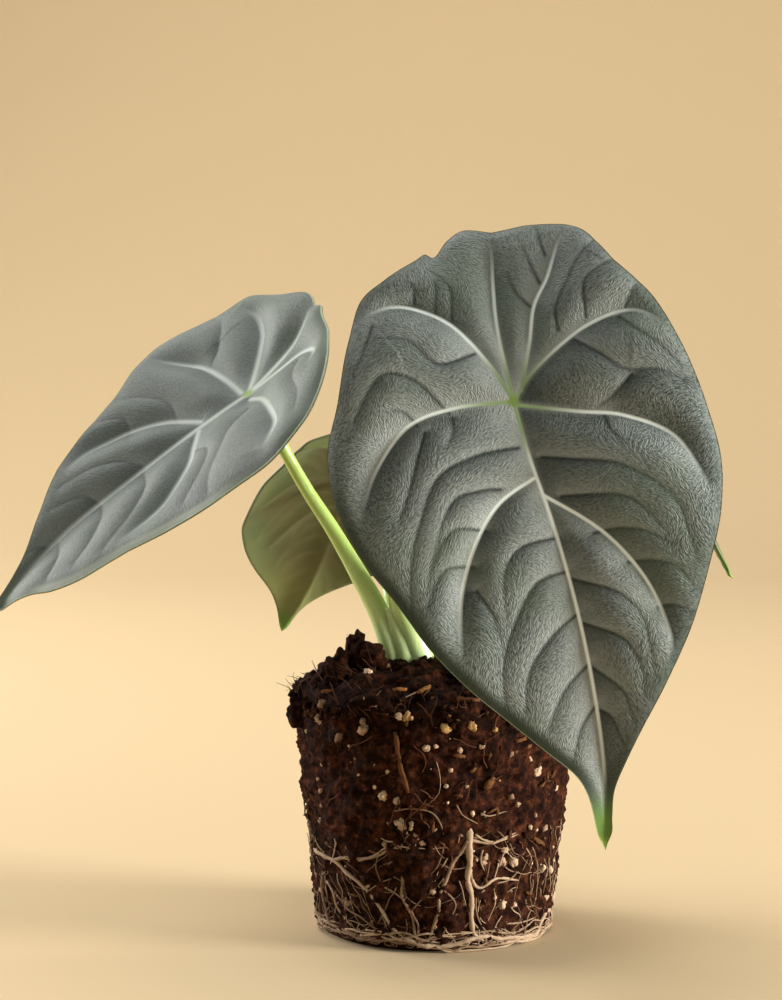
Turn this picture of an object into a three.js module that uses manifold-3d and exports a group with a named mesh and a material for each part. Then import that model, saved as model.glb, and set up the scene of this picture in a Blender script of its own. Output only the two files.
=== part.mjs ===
// A young potted alocasia lifted out of its nursery pot. The root ball keeps the shape of the pot,
// and four leaves stand on long stalks that grow from one corm. Millimetres, +Z up.
// The origin is the centre of the root ball's flat base, and the large front leaf faces -Y.
import * as THREE from "three";
import { mergeVertices } from "three/addons/utils/BufferGeometryUtils.js";
import Module from "manifold-3d";

const wasm = await Module();
wasm.setup();

// Driving dimensions
const GAP = 0.3;
const JOIN_TOLERANCE = 0.04;
const BLADE_THICKNESS = 0.9;
const BALL_BASE_RADIUS = 27.2;
const BALL_RIM_RADIUS = 32.7;
const BALL_RIM_HEIGHT = 57;
const BALL_TOP_HEIGHT = 64;
const BALL_SIDES = 34;
const CROWN_CENTRE = [-5.2, 1.2];
const CROWN_TOP = 61.5;
const CORM_BASE = 43;
const STALK_START = CROWN_TOP + GAP;
const STALK_FOOT = 1.5;
const STALK_SIDES = 8;
const STALK_STEPS = 20;
const RELIEF = { mainHeight: 1.7, mainWidth: 6, sideHeight: 1.3, sideWidth: 3 };
const MARGIN = { curl: 0.7, curlWidth: 2.5, wave: 0.35, waveWidth: 7, waveCount: 9 };

// Colours
const SOIL_COLOUR = 0x2b170d;
const ROOT_COLOUR = 0xc9ad86;
const CROWN_COLOUR = 0xb4c48a;
const STALK_COLOUR = 0x9fb055;
const BLADE_COLOUR = 0x5a6660;
const BACK_BLADE_COLOUR = 0x5c6440;

// The flat layout of the front leaf, as [along, across] in mm from where its stalk is fixed.
// Along runs to the drip tip. Each margin runs between the notch and the tip.
const FRONT_LAYOUT = {
  margins: [
    [[-40, 2.5], [-39.5, 6.6], [-38.8, 13.6], [-35.3, 21.8], [-25, 27.9], [-15.5, 34.7],
      [-4, 38.6], [8, 41], [20, 42], [31, 39.5], [42, 34.5], [54, 28], [65, 20], [74, 13],
      [82, 7.5], [88, 4.2], [94, 2.6], [98, 1.8], [102, -0.4]],
    [[102, -0.4], [98, -1.3], [92, -1.4], [87, -1.8], [82, -3.5], [76, -8], [67, -15],
      [58, -22], [48, -28.5], [37, -34], [27, -39.5], [15, -43], [3.2, -42.7], [-7.5, -37.7],
      [-19.6, -33.1], [-28.4, -29], [-32.4, -22.3], [-35.7, -15.5], [-37.1, -13], [-36.1, -10.9],
      [-40, -7.6], [-42.2, -3.5], [-40, 2.5]],
  ],
  mainVeins: [
    [[0, 0], [13, 1], [28, 3], [47, 4.3], [66, 4.2], [84, 2.8], [100, -0.2]],
    [[0, 0], [-10, -4], [-20, -10.5], [-25.5, -19.5], [-25, -27.5], [-22, -31]],
    [[0, 0], [-6, 6], [-12.5, 18], [-14, 29], [-9.5, 36]],
    [[-1, 0], [-16, -0.4], [-27, 0.5], [-38, 2.3]],
    [[-2, 2], [-12, 5.8], [-20, 8.3], [-26, 12.4], [-33.4, 16.5], [-36, 20]],
    [[0, 0], [-1, -12], [1, -23.5], [9, -32.5], [18.5, -37.5]],
    [[1, 1], [5, 13], [8, 23], [14.5, 33], [26, 38]],
    [[17, 1], [21, -7.5], [29, -14.5], [39, -19.5], [50, -21.7]],
    [[21, 2.2], [31, 13], [42.5, 20], [54.5, 23], [60, 22]],
  ],
  sideVeins: [
    [[-13, 12.5], [-18, 13], [-24, 17], [-28, 20], [-32, 25]],
    [[-14.5, 19], [-21.5, 20], [-24, 23], [-26, 28]],
    [[-10.5, 15], [-6, 20], [-1.5, 25], [0, 32], [3, 37]],
    [[13, 3.5], [14.5, 9], [18, 20], [26, 29], [33, 31], [40, 31.5]],
    [[22, 6], [24, 18], [28, 23], [34, 26.5]],
    [[31, 11], [31, 17], [32.5, 22], [36, 27]],
    [[38.5, 17], [39, 22.5], [41, 27], [46, 30]],
    [[39.5, 4], [43, 12], [46, 15.5], [51, 18], [62, 18]],
    [[49.5, 5], [54, 13], [61, 15.5], [66, 15]],
    [[59.5, 5], [65, 10.5], [72, 11.5]],
    [[-20.5, -9.5], [-28, -9], [-33, -13]],
    [[0, -14], [-7.5, -19.5], [-10.5, -25], [-9, -29], [-2, -35]],
    [[-12, -6], [-10.5, -13], [-12, -16], [-17, -20], [-19, -27]],
    [[3, -20], [10, -23.5], [15, -26], [20, -29]],
    [[10, -1], [10, -10], [13, -19], [21, -24.5], [31, -29], [42, -31]],
    [[18, -6.5], [17.5, -11], [19, -17.5], [30, -24], [36, -26.5]],
    [[26, -11.5], [24.5, -18], [29, -23], [34, -25]],
    [[33, -15.5], [32.5, -22], [39, -27]],
    [[30.5, 2.5], [31, -5], [36, -9.5], [46, -11]],
    [[38, 3.5], [39, -3], [45, -8.5], [54, -13.5], [63, -15]],
    [[47.5, 4], [51, -2.5], [57, -8.5], [65, -11]],
    [[58.5, 4.5], [63, -2], [70, -7]],
  ],
};

// The back left leaf has the front leaf's veins and is rounder on one side.
const BACK_LAYOUT = {
  ...FRONT_LAYOUT,
  margins: [
    FRONT_LAYOUT.margins[0],
    [[102, -0.4], [98, -2.6], [92, -5], [87, -7.5], [82, -10.5], [76, -15], [67, -22.5],
      [58, -29], [48, -35], [37, -40], [27, -43.5], [15, -44.5], [3.2, -42.2], [-7.5, -37.7],
      [-19.6, -33.1], [-28.4, -29], [-32.4, -22.3], [-35.7, -15.5], [-37.1, -13], [-36.1, -10.9],
      [-40, -7.6], [-42.2, -3.5], [-40, 2.5]],
  ],
};

// The flat layout of the left leaf, in the same terms. It is about three quarters as large.
const LEFT_LAYOUT = {
  margins: [
    [[-25.6, -2.5], [-26.5, 2], [-24.8, 6.5], [-22.4, 14.5], [-18.7, 23.5], [-10.1, 29.5],
      [-2.4, 34], [6.2, 34.6], [15.5, 31.7], [25.6, 28], [34.7, 22.3], [45.2, 16], [56, 11.4],
      [62.9, 6.4], [67.3, 1.2], [72.3, -2.9], [79, -5.5]],
    [[79, -5.5], [71.3, -6.9], [62.7, -9.6], [53, -15], [45, -20.2], [38, -23.5], [29, -26.7],
      [20.3, -30], [10.3, -34.8], [0.7, -35.8], [-9.7, -31.3], [-18.5, -28], [-23.5, -15.6],
      [-27, -8], [-25.6, -2.5]],
  ],
  mainVeins: [
    [[0, 0], [13, -2.3], [33, -4.5], [50, -6.2], [66.6, -6], [74, -4.7]],
    [[0, 0], [-5, -5], [-10, -10.3], [-13.4, -15], [-15.4, -21.3], [-14, -27]],
    [[0, 0], [-9, 2], [-15, 5], [-17, 11], [-14, 18]],
    [[0, 0], [-7.7, -0.7], [-13.5, -1.2], [-24, -2.6]],
    [[1, -2], [1, -9], [2, -17.6], [4.3, -23.7], [10.6, -33]],
    [[0.7, 3], [-0.9, 7.3], [0, 15], [2, 21.5], [8, 29]],
    [[12.2, -3.6], [18, -11.6], [26, -17.2], [35.5, -19.8], [43, -19]],
    [[14.2, -1.5], [17.7, 2.3], [22.4, 7.2], [33, 11.7], [44.6, 12]],
  ],
  sideVeins: [
    [[0.5, -18], [-3, -20], [-8, -26], [-8, -30]],
    [[16, -9.5], [14.5, -14], [16.5, -20], [22, -27]],
    [[25.5, -16.5], [24.5, -21], [29, -25]],
    [[29, -5], [32, -10], [38, -14], [46, -16]],
    [[42, -6], [44, -10], [51, -13]],
    [[57, -6.5], [60, -9], [64, -9]],
    [[3, 7], [9, 9], [14, 14], [20, 20], [23, 25]],
    [[18, 4], [16, 9], [20, 15], [28, 20]],
    [[30, -3], [32, 3], [38, 7], [48, 10]],
    [[42, -4.5], [44, 0], [49, 4], [55, 6]],
    [[55, -5], [57, -1], [62, 2]],
    [[-13, 8], [-9, 14], [-7, 22], [-3, 28]],
  ],
};

// Each leaf: where its stalk meets the blade, the way its tip points and the way it faces.
// Droop is the bend along the blade in degrees, radius and fold shape it across.
const LEAVES = [
  {
    name: "front", layout: FRONT_LAYOUT, scale: 1, mirror: 1, grid: 3.6,
    origin: [16.1, -50, 125.9], tip: [0.19, -0.22, -0.95], face: [-0.05, -1, 0],
    tipReach: 105, backReach: 40, tipDroop: 32, backDroop: 30,
    fold: 0.28, foldSoft: 8, radius: 85, twist: 0, colour: BLADE_COLOUR,
    stalk: [[-3, -1.6, STALK_START], [-4, -1.8, 66], [-6, -2.3, 71.7], [-7.9, -3.1, 76.5],
      [-8, -4.6, 82], [-4.6, -9.5, 92], [4, -21, 107], [13, -33, 119]],
    stalkRadii: [3.1, 2.8, 2.5, 2.3, 2.15, 2.05, 2, 2, 2.1], lead: 8,
  },
  {
    name: "left", layout: LEFT_LAYOUT, scale: 1, mirror: 1, grid: 3.2,
    origin: [-43, -8, 125.7], tip: [-0.75, -0.18, -0.63], face: [-0.49, -0.48, 0.72],
    tipReach: 80, backReach: 30, tipDroop: 8, backDroop: -20,
    fold: 0.18, foldSoft: 5, radius: 200, twist: -20, colour: BLADE_COLOUR,
    stalk: [[-9.6, -1, STALK_START], [-10.1, -1, 66], [-12, -0.7, 71.7], [-13.9, -0.7, 76],
      [-18.6, -0.5, 84.7], [-23.8, 0, 93.6], [-29.6, 0, 102.6], [-34.1, -0.6, 110.6]],
    stalkRadii: [2.9, 2.6, 2.35, 1.95, 1.7, 1.55, 1.45, 1.4, 1.6], lead: 8,
  },
  {
    name: "back_left", layout: BACK_LAYOUT, scale: 0.56, mirror: -1, grid: 3,
    origin: [-20.5, 38, 102.5], tip: [-0.32, 0.66, -0.68], face: [-0.04, 0.71, 0.7],
    tipReach: 65, backReach: 25, tipDroop: 12, backDroop: 20,
    fold: -0.02, foldSoft: 4, radius: 32.7, twist: 0, colour: BACK_BLADE_COLOUR,
    stalk: [[-7.6, 4.3, STALK_START], [-8.6, 4.6, 68], [-10.2, 7, 77], [-12.4, 14, 84.5],
      [-16, 23, 91]],
    stalkRadii: [2.1, 1.8, 1.4, 1.25, 1.3], lead: 8,
  },
  {
    name: "back_right", layout: FRONT_LAYOUT, scale: 0.59, mirror: -1, grid: 3,
    origin: [34.1, 34, 123.1], tip: [0.81, -0.23, -0.54], face: [0.58, 0.16, 0.8],
    tipReach: 65, backReach: 25, tipDroop: 31, backDroop: 20,
    fold: 0.1, foldSoft: 4, radius: 50, twist: 0, colour: BACK_BLADE_COLOUR,
    stalk: [[-1.6, 4.4, STALK_START], [-2.6, 5, 69], [-1.5, 7.5, 80], [5, 14, 95],
      [17, 25, 108]],
    stalkRadii: [2.1, 1.8, 1.5, 1.35, 1.35], lead: 8,
  },
];

// Roots on the ball's surface, as [angle, height]: degrees round from the front towards +X, and mm.
// A root starts inside at the corm, unless it forks from a point that it shares with another root.
const ROOTS = [
  { radius: 1.1, route: [[13, 31], [14, 26.3], [15, 18.5], [16, 12.2], [17, 5], [24, 2.2]] },
  { radius: 0.7, forks: true, route: [[14, 26.3], [8, 22], [3, 14.6], [0, 8], [-5, 2.2]] },
  { radius: 0.7, route: [[-13, 26], [-14, 20], [-15, 14.8], [-11, 6.9], [-9, 2.4]] },
  { radius: 0.75, route: [[-80, 22], [-72, 20.4], [-54, 19.1], [-40, 16.1], [-30, 12], [-21, 6.6],
    [-15, 2.8]] },
  { radius: 0.7, route: [[-62, 26], [-64, 14], [-65, 6.9], [-57, 3], [-39, 2.6], [-20, 2.4],
    [-5, 1.8]] },
  { radius: 0.8, forks: true, route: [[-15, 2.8], [-5, 1.8], [11, 2.2], [23, 3.4], [42, 1.7],
    [58, 1.9], [70, 5.4], [84, 3], [100, 2]] },
  { radius: 0.55, forks: true, route: [[15, 18.5], [20, 15], [27, 16.4], [40, 15.6]] },
  { radius: 0.55, forks: true, route: [[-54, 19.1], [-46, 20.3], [-32, 21.3], [-20, 24],
    [-10, 23.8]] },
  { radius: 0.55, forks: true, route: [[14, 26.3], [27, 25.3], [38, 26.8]] },
];
const HIDDEN_ROOTS = { first: 98, last: 262, count: 5, top: 27, radius: 0.75, seed: 11 };

// Grains and clods that stand out of the root ball, as [angle, height, radius].
// A height above the rim puts the grain on the mound, at the distance that the height gives.
const GRAINS = [
  [-22, 36.4, 2], [-16, 29.7, 1.6], [-1, 28.5, 1.7], [-54, 51.4, 1.6], [-32, 51.2, 1.5],
  [-12, 54.7, 1.5], [42, 43, 1.6], [48, 40.2, 1.4], [-4, 47.7, 1.5], [-25, 43.5, 1.4],
  [58, 16.8, 1.4], [4, 52.3, 1.1], [9, 54.3, 1.1], [14, 52.8, 1.1], [24, 51.1, 1.2],
];
const SCATTER = { count: 20, seed: 7, lowest: 6, highest: 54, smallest: 1.1, largest: 2.3 };
const TUFTS = [
  { at: [-18.8, -7, 64.5], size: [2.6, 2.6, 6.5], lean: 0.15 },
  { at: [-14.6, -9, 63.5], size: [3, 3, 4.2], lean: -0.2 },
  { at: [-24, -10, 60.5], size: [3.6, 3.2, 4], lean: 0.3 },
  { at: [-29.5, -4, 57.5], size: [2.6, 3, 3], lean: 0.5 },
  { at: [8, -12, 61], size: [4.5, 3.6, 3], lean: 0.1 },
  { at: [17, 6, 59.5], size: [4.2, 4, 3], lean: -0.2 },
  { at: [-6, 18, 60], size: [4.5, 3.4, 3.2], lean: 0.2 },
  { at: [24, -8, 57], size: [3.4, 3.8, 2.8], lean: 0.3 },
];

const vector = (place) => new THREE.Vector3(...place);
const radians = THREE.MathUtils.degToRad;

// A repeatable stream of random numbers from 0 to 1
function randomStream(seed) {
  let state = seed;
  return () => {
    state = (state + 0x6d2b79f5) | 0;
    let mixed = Math.imul(state ^ (state >>> 15), 1 | state);
    mixed = (mixed + Math.imul(mixed ^ (mixed >>> 7), 61 | mixed)) ^ mixed;
    return ((mixed ^ (mixed >>> 14)) >>> 0) / 4294967296;
  };
}

function geometryFrom(places, triangles) {
  const geometry = new THREE.BufferGeometry();
  geometry.setAttribute("position", new THREE.Float32BufferAttribute(places.flat(), 3));
  geometry.setIndex(triangles.flat());
  return geometry;
}

function merged(geometry) {
  geometry.deleteAttribute("normal");
  geometry.deleteAttribute("uv");
  return mergeVertices(geometry, 1e-4);
}

function solidFrom(geometry) {
  const clean = merged(geometry);
  const mesh = new wasm.Mesh({
    numProp: 3,
    vertProperties: Float32Array.from(clean.attributes.position.array),
    triVerts: Uint32Array.from(clean.index.array),
    tolerance: JOIN_TOLERANCE,
  });
  return new wasm.Manifold(mesh);
}

function geometryOf(solid) {
  const mesh = solid.getMesh();
  const geometry = new THREE.BufferGeometry();
  geometry.setAttribute("position", new THREE.BufferAttribute(mesh.vertProperties, 3));
  geometry.setIndex(new THREE.BufferAttribute(mesh.triVerts, 1));
  return geometry;
}

// The largest body of a solid, without the loose scraps that a cut can leave
function largestBody(solid) {
  const bodies = solid.decompose();
  bodies.sort((a, b) => b.volume() - a.volume());
  return bodies[0];
}

function shaped(name, geometry, colour, roughness) {
  const material = new THREE.MeshStandardMaterial({ color: colour, roughness, metalness: 0 });
  const mesh = new THREE.Mesh(geometry, material);
  mesh.name = name;
  return mesh;
}

// A closed tube along points, with a radius that changes along it
function taperedTube(points, radiusAt, sides, steps) {
  const curve = new THREE.CatmullRomCurve3(points, false, "centripetal");
  const frames = curve.computeFrenetFrames(steps, false);
  const places = [];
  const triangles = [];
  for (let step = 0; step <= steps; step += 1) {
    const centre = curve.getPointAt(step / steps);
    const radius = radiusAt(step / steps);
    for (let side = 0; side < sides; side += 1) {
      const turn = (side / sides) * 2 * Math.PI;
      const place = centre.clone();
      place.addScaledVector(frames.normals[step], radius * Math.cos(turn));
      place.addScaledVector(frames.binormals[step], radius * Math.sin(turn));
      places.push(place.toArray());
    }
  }
  const startCentre = places.push(curve.getPointAt(0).toArray()) - 1;
  const endCentre = places.push(curve.getPointAt(1).toArray()) - 1;
  for (let side = 0; side < sides; side += 1) {
    const next = (side + 1) % sides;
    for (let step = 0; step < steps; step += 1) {
      const low = step * sides;
      const high = low + sides;
      triangles.push([low + side, low + next, high + next]);
      triangles.push([low + side, high + next, high + side]);
    }
    const last = steps * sides;
    triangles.push([startCentre, next, side]);
    triangles.push([endCentre, last + side, last + next]);
  }
  return geometryFrom(places, triangles);
}

// A value read off evenly spaced samples at a place from 0 to 1
function sampled(samples, place) {
  const at = place * (samples.length - 1);
  const index = Math.min(Math.floor(at), samples.length - 2);
  return THREE.MathUtils.lerp(samples[index], samples[index + 1], at - index);
}

// Blades

function smoothLine(points, spacing) {
  const curve = new THREE.SplineCurve(points.map((point) => new THREE.Vector2(...point)));
  const count = Math.max(2, Math.round(curve.getLength() / spacing));
  return curve.getSpacedPoints(count).map((point) => [point.x, point.y]);
}

function scaledLayout(leaf) {
  const scale = (line) => line.map(([along, across]) => [
    along * leaf.scale,
    across * leaf.scale * leaf.mirror,
  ]);
  return {
    margins: leaf.layout.margins.map(scale),
    mainVeins: leaf.layout.mainVeins.map(scale),
    sideVeins: leaf.layout.sideVeins.map(scale),
  };
}

function distanceToLine([x, y], line) {
  let best = Infinity;
  for (let index = 1; index < line.length; index += 1) {
    const [x0, y0] = line[index - 1];
    const [dx, dy] = [line[index][0] - x0, line[index][1] - y0];
    const share = ((x - x0) * dx + (y - y0) * dy) / (dx * dx + dy * dy);
    const held = Math.min(1, Math.max(0, share));
    best = Math.min(best, Math.hypot(x - x0 - held * dx, y - y0 - held * dy));
  }
  return best;
}

function distanceToLines(point, lines) {
  return Math.min(...lines.map((line) => distanceToLine(point, line)));
}

function insideOutline([x, y], outline) {
  let inside = false;
  for (let index = 0; index < outline.length; index += 1) {
    const [x0, y0] = outline[index];
    const [x1, y1] = outline[(index + 1) % outline.length];
    if (y0 > y !== y1 > y && x < ((x1 - x0) * (y - y0)) / (y1 - y0) + x0) {
      inside = !inside;
    }
  }
  return inside;
}

// Bowyer-Watson triangulation of flat points
function triangulate(points) {
  const far = 1000;
  const all = [...points, [-far, -far], [far, -far], [0, far]];
  const first = points.length;
  const circled = (corners) => {
    const [[ax, ay], [bx, by], [cx, cy]] = corners.map((corner) => all[corner]);
    const double = 2 * (ax * (by - cy) + bx * (cy - ay) + cx * (ay - by));
    const [a2, b2, c2] = [ax * ax + ay * ay, bx * bx + by * by, cx * cx + cy * cy];
    const x = (a2 * (by - cy) + b2 * (cy - ay) + c2 * (ay - by)) / double;
    const y = (a2 * (cx - bx) + b2 * (ax - cx) + c2 * (bx - ax)) / double;
    return { corners, x, y, reach: Math.hypot(ax - x, ay - y) };
  };
  let triangles = [circled([first, first + 1, first + 2])];
  points.forEach(([x, y], added) => {
    const edges = new Map();
    triangles = triangles.filter(({ corners, x: cx, y: cy, reach }) => {
      if (Math.hypot(x - cx, y - cy) > reach) {
        return true;
      }
      corners.forEach((from, side) => {
        const to = corners[(side + 1) % 3];
        if (!edges.delete(`${to} ${from}`)) {
          edges.set(`${from} ${to}`, [from, to]);
        }
      });
      return false;
    });
    edges.forEach(([from, to]) => triangles.push(circled([from, to, added])));
  });
  return triangles.map(({ corners }) => corners).filter((corners) => Math.max(...corners) < first);
}

// Flat points of a blade: its margin, points along its veins, and an even fill between them
function bladePoints(layout, grid) {
  const outline = layout.margins.flatMap((line) => smoothLine(line, grid).slice(0, -1));
  const kept = [...outline];
  const marginRoom = 0.62 * grid;
  const veinRoom = 0.6 * grid;
  const fillRoom = 0.74 * grid;
  const roomAt = (point, room) => kept.every(([x, y]) => Math.hypot(point[0] - x, point[1] - y) > room);
  const tryPoint = (point, room) => {
    if (insideOutline(point, outline) && roomAt(point, room)
      && distanceToLine(point, [...outline, outline[0]]) > marginRoom) {
      kept.push(point);
    }
  };
  [...layout.mainVeins, ...layout.sideVeins].forEach((line) => {
    smoothLine(line, grid).forEach((point) => tryPoint(point, veinRoom));
  });
  const rowHeight = grid * Math.sqrt(0.75);
  const across = layout.margins.flat().map((point) => point[1]);
  const along = layout.margins.flat().map((point) => point[0]);
  let shift = 0;
  for (let y = Math.min(...across); y < Math.max(...across); y += rowHeight) {
    for (let x = Math.min(...along) + shift; x < Math.max(...along); x += grid) {
      tryPoint([x, y], fillRoom);
    }
    shift = grid / 2 - shift;
  }
  return { outline, points: kept };
}

// The curved middle surface of a blade, as a function of the flat place on it
function bladeSurface(leaf) {
  const tip = vector(leaf.tip).normalize();
  const face = vector(leaf.face);
  face.addScaledVector(tip, -face.dot(tip)).normalize();
  const side = new THREE.Vector3().crossVectors(face, tip);
  const origin = vector(leaf.origin);
  const tipBend = radians(leaf.tipDroop) / leaf.tipReach;
  const backBend = radians(leaf.backDroop) / leaf.backReach;
  const surface = (along, across) => {
    const bend = along > 0 ? tipBend : backBend;
    const angle = bend * along;
    const reach = Math.sin(angle) / bend;
    const drop = -(1 - Math.cos(angle)) / bend;
    let sideways = leaf.radius * Math.sin(across / leaf.radius);
    let rise = leaf.fold * (Math.hypot(across, leaf.foldSoft) - leaf.foldSoft);
    rise -= leaf.radius * (1 - Math.cos(across / leaf.radius));
    const twist = (radians(leaf.twist) * along) / leaf.tipReach;
    [sideways, rise] = [
      sideways * Math.cos(twist) - rise * Math.sin(twist),
      sideways * Math.sin(twist) + rise * Math.cos(twist),
    ];
    const place = origin.clone();
    place.addScaledVector(tip, reach + rise * Math.sin(angle));
    place.addScaledVector(face, drop + rise * Math.cos(angle));
    return place.addScaledVector(side, sideways);
  };
  return { surface, face };
}

function surfaceNormal(surface, along, across) {
  const step = 0.5;
  const forward = surface(along + step, across).sub(surface(along - step, across));
  const sideways = surface(along, across + step).sub(surface(along, across - step));
  return forward.cross(sideways).normalize();
}

// The height of the puckered surface: sunken veins, pillows between them and a curled, waved margin
function bladeRelief(leaf, layout, outline) {
  const closed = [...outline, outline[0]];
  return (point) => {
    const main = distanceToLines(point, layout.mainVeins) / leaf.scale;
    const side = distanceToLines(point, layout.sideVeins) / leaf.scale;
    const margin = distanceToLine(point, closed) / leaf.scale;
    const turn = Math.atan2(point[1], point[0]);
    const pillow = RELIEF.mainHeight * (1 - Math.exp(-main / RELIEF.mainWidth));
    const ripple = RELIEF.sideHeight * (1 - Math.exp(-side / RELIEF.sideWidth));
    const near = Math.min(1, main / RELIEF.mainWidth);
    const curl = MARGIN.curl * Math.exp(-margin / MARGIN.curlWidth);
    const wave = MARGIN.wave * Math.exp(-margin / MARGIN.waveWidth) * Math.sin(MARGIN.waveCount * turn);
    return leaf.scale * (pillow + near * (ripple + wave) - curl);
  };
}

// A blade of even thickness, with the same triangles on its upper and its under side
function blade(leaf) {
  const layout = scaledLayout(leaf);
  const { outline, points } = bladePoints(layout, leaf.grid);
  const relief = bladeRelief(leaf, layout, outline);
  const { surface } = bladeSurface(leaf);
  const flat = triangulate(points).filter((corners) => {
    const centre = [0, 1].map((axis) => corners.reduce((sum, corner) => sum + points[corner][axis], 0) / 3);
    return insideOutline(centre, outline);
  });
  const upper = [];
  const under = [];
  points.forEach(([along, across]) => {
    const normal = surfaceNormal(surface, along, across);
    const place = surface(along, across).addScaledVector(normal, relief([along, across]));
    upper.push(place.toArray());
    under.push(place.addScaledVector(normal, -BLADE_THICKNESS).toArray());
  });
  const count = points.length;
  const edges = new Map();
  const triangles = [];
  flat.forEach(([a, b, c]) => {
    triangles.push([a, b, c], [a + count, c + count, b + count]);
    [[a, b], [b, c], [c, a]].forEach(([from, to]) => {
      if (!edges.delete(`${to} ${from}`)) {
        edges.set(`${from} ${to}`, [from, to]);
      }
    });
  });
  edges.forEach(([from, to]) => {
    triangles.push([to, from, from + count], [to, from + count, to + count]);
  });
  return geometryFrom([...upper, ...under], triangles);
}

// Leaf stalks

// The stalk's line rises square from the crown and ends square to the blade's under side,
// with a small gap at both ends
function stalkLine(leaf) {
  const { face } = bladeSurface(leaf);
  const [start, ...onward] = leaf.stalk.map(vector);
  const foot = start.clone().add(new THREE.Vector3(0, 0, STALK_FOOT));
  const end = vector(leaf.origin).addScaledVector(face, -(BLADE_THICKNESS + GAP));
  const lead = end.clone().addScaledVector(face, -leaf.lead);
  return [start, foot, ...onward, lead, end];
}

function stalk(leaf, extra, steps) {
  const radiusAt = (place) => sampled(leaf.stalkRadii, place) + extra;
  return taperedTube(stalkLine(leaf), radiusAt, STALK_SIDES, steps);
}

// Crown: the corm and the short neck that carries the stalks

function crown(extra) {
  const profile = [
    [0, CORM_BASE - extra], [3.6 + extra, CORM_BASE + 0.6 - extra], [6.4 + extra, 47],
    [7.4 + extra, 51], [6.9 + extra, 55], [6.6 + extra, 58], [8 + extra, 60.6],
    [8 + extra, CROWN_TOP + extra], [0, CROWN_TOP + extra],
  ];
  const lathe = new THREE.LatheGeometry(profile.map((point) => new THREE.Vector2(...point)), 18);
  lathe.rotateX(Math.PI / 2);
  lathe.translate(CROWN_CENTRE[0], CROWN_CENTRE[1], 0);
  return lathe;
}

// Root ball

function ballRadius(height) {
  return THREE.MathUtils.lerp(BALL_BASE_RADIUS, BALL_RIM_RADIUS, height / BALL_RIM_HEIGHT);
}

function onBall(degrees, height, lift) {
  const angle = radians(degrees);
  const radius = ballRadius(height) + lift;
  return new THREE.Vector3(radius * Math.sin(angle), -radius * Math.cos(angle), height);
}

// How far the pressed wall of mix stands out or in
function wallUnevenness(angle, height) {
  return 0.4 * Math.sin(3 * angle + 0.11 * height) + 0.35 * Math.sin(7 * angle - 0.23 * height + 1)
    + 0.3 * Math.sin(13 * angle + 0.41 * height + 2);
}

// The mound is crumbled loose, so it is lumpier than the wall
function moundHeight(radius, angle) {
  const share = radius / BALL_RIM_RADIUS;
  const lumps = 1.2 * Math.sin(4 * angle + 6 * share) + 1.1 * Math.sin(9 * angle - 9 * share + 2)
    + 0.9 * Math.sin(14 * angle + 15 * share);
  return THREE.MathUtils.lerp(BALL_TOP_HEIGHT, BALL_RIM_HEIGHT, share * share) + lumps * share;
}

// Rings of the ball from the middle of its base to the middle of its mound
function ballRings() {
  const base = [9, 18, BALL_BASE_RADIUS - 2].map((radius) => () => [radius, 0]);
  const walls = [1.6, 9, 18, 27, 36, 44, 51, 55.5].map((height) => (angle) => {
    const rough = wallUnevenness(angle, height) * Math.min(1, height / 25);
    const chamfer = height < 2 ? 0.4 : 0;
    return [ballRadius(height) + rough - chamfer, height];
  });
  const mound = [31, 27, 22, 17, 11, 5].map((radius) => (angle) => [
    radius + wallUnevenness(angle, radius),
    moundHeight(radius, angle),
  ]);
  return [...base, ...walls, ...mound];
}

function ballBody() {
  const rings = ballRings();
  const places = [[0, 0, 0]];
  const triangles = [];
  rings.forEach((ring) => {
    for (let side = 0; side < BALL_SIDES; side += 1) {
      const angle = (side / BALL_SIDES) * 2 * Math.PI;
      const [radius, height] = ring(angle);
      places.push([radius * Math.sin(angle), -radius * Math.cos(angle), height]);
    }
  });
  const top = places.push([0, 0, BALL_TOP_HEIGHT]) - 1;
  const lastRing = (rings.length - 1) * BALL_SIDES;
  for (let side = 0; side < BALL_SIDES; side += 1) {
    const next = (side + 1) % BALL_SIDES;
    triangles.push([0, 1 + next, 1 + side]);
    triangles.push([top, 1 + lastRing + side, 1 + lastRing + next]);
    for (let ring = 0; ring < rings.length - 1; ring += 1) {
      const low = 1 + ring * BALL_SIDES;
      const high = low + BALL_SIDES;
      triangles.push([low + side, low + next, high + next]);
      triangles.push([low + side, high + next, high + side]);
    }
  }
  return solidFrom(geometryFrom(places, triangles));
}

// A rough lump of mix: a coarse ball with its corners pushed in and out
function lump(place, size, lean, random) {
  const geometry = merged(new THREE.IcosahedronGeometry(1, 0));
  const position = geometry.attributes.position;
  for (let index = 0; index < position.count; index += 1) {
    const grow = 0.8 + 0.4 * random();
    const height = position.getZ(index) * grow * size[2];
    position.setXYZ(
      index,
      place[0] + position.getX(index) * grow * size[0] + lean * height,
      place[1] + position.getY(index) * grow * size[1],
      place[2] + height,
    );
  }
  return solidFrom(geometry);
}

function grainPlace([degrees, height, radius]) {
  return onBall(degrees, height, -0.35 * radius).toArray();
}

function ballLumps() {
  const random = randomStream(SCATTER.seed);
  const scattered = Array.from({ length: SCATTER.count }, () => [
    360 * random(),
    THREE.MathUtils.lerp(SCATTER.lowest, SCATTER.highest, random()),
    THREE.MathUtils.lerp(SCATTER.smallest, SCATTER.largest, random()),
  ]);
  const grains = [...GRAINS, ...scattered].map((grain) => lump(
    grainPlace(grain),
    [grain[2], grain[2], grain[2]],
    0,
    random,
  ));
  const tufts = TUFTS.map(({ at, size, lean }) => lump(at, size, lean, random));
  return [...grains, ...tufts];
}

// Roots

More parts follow.
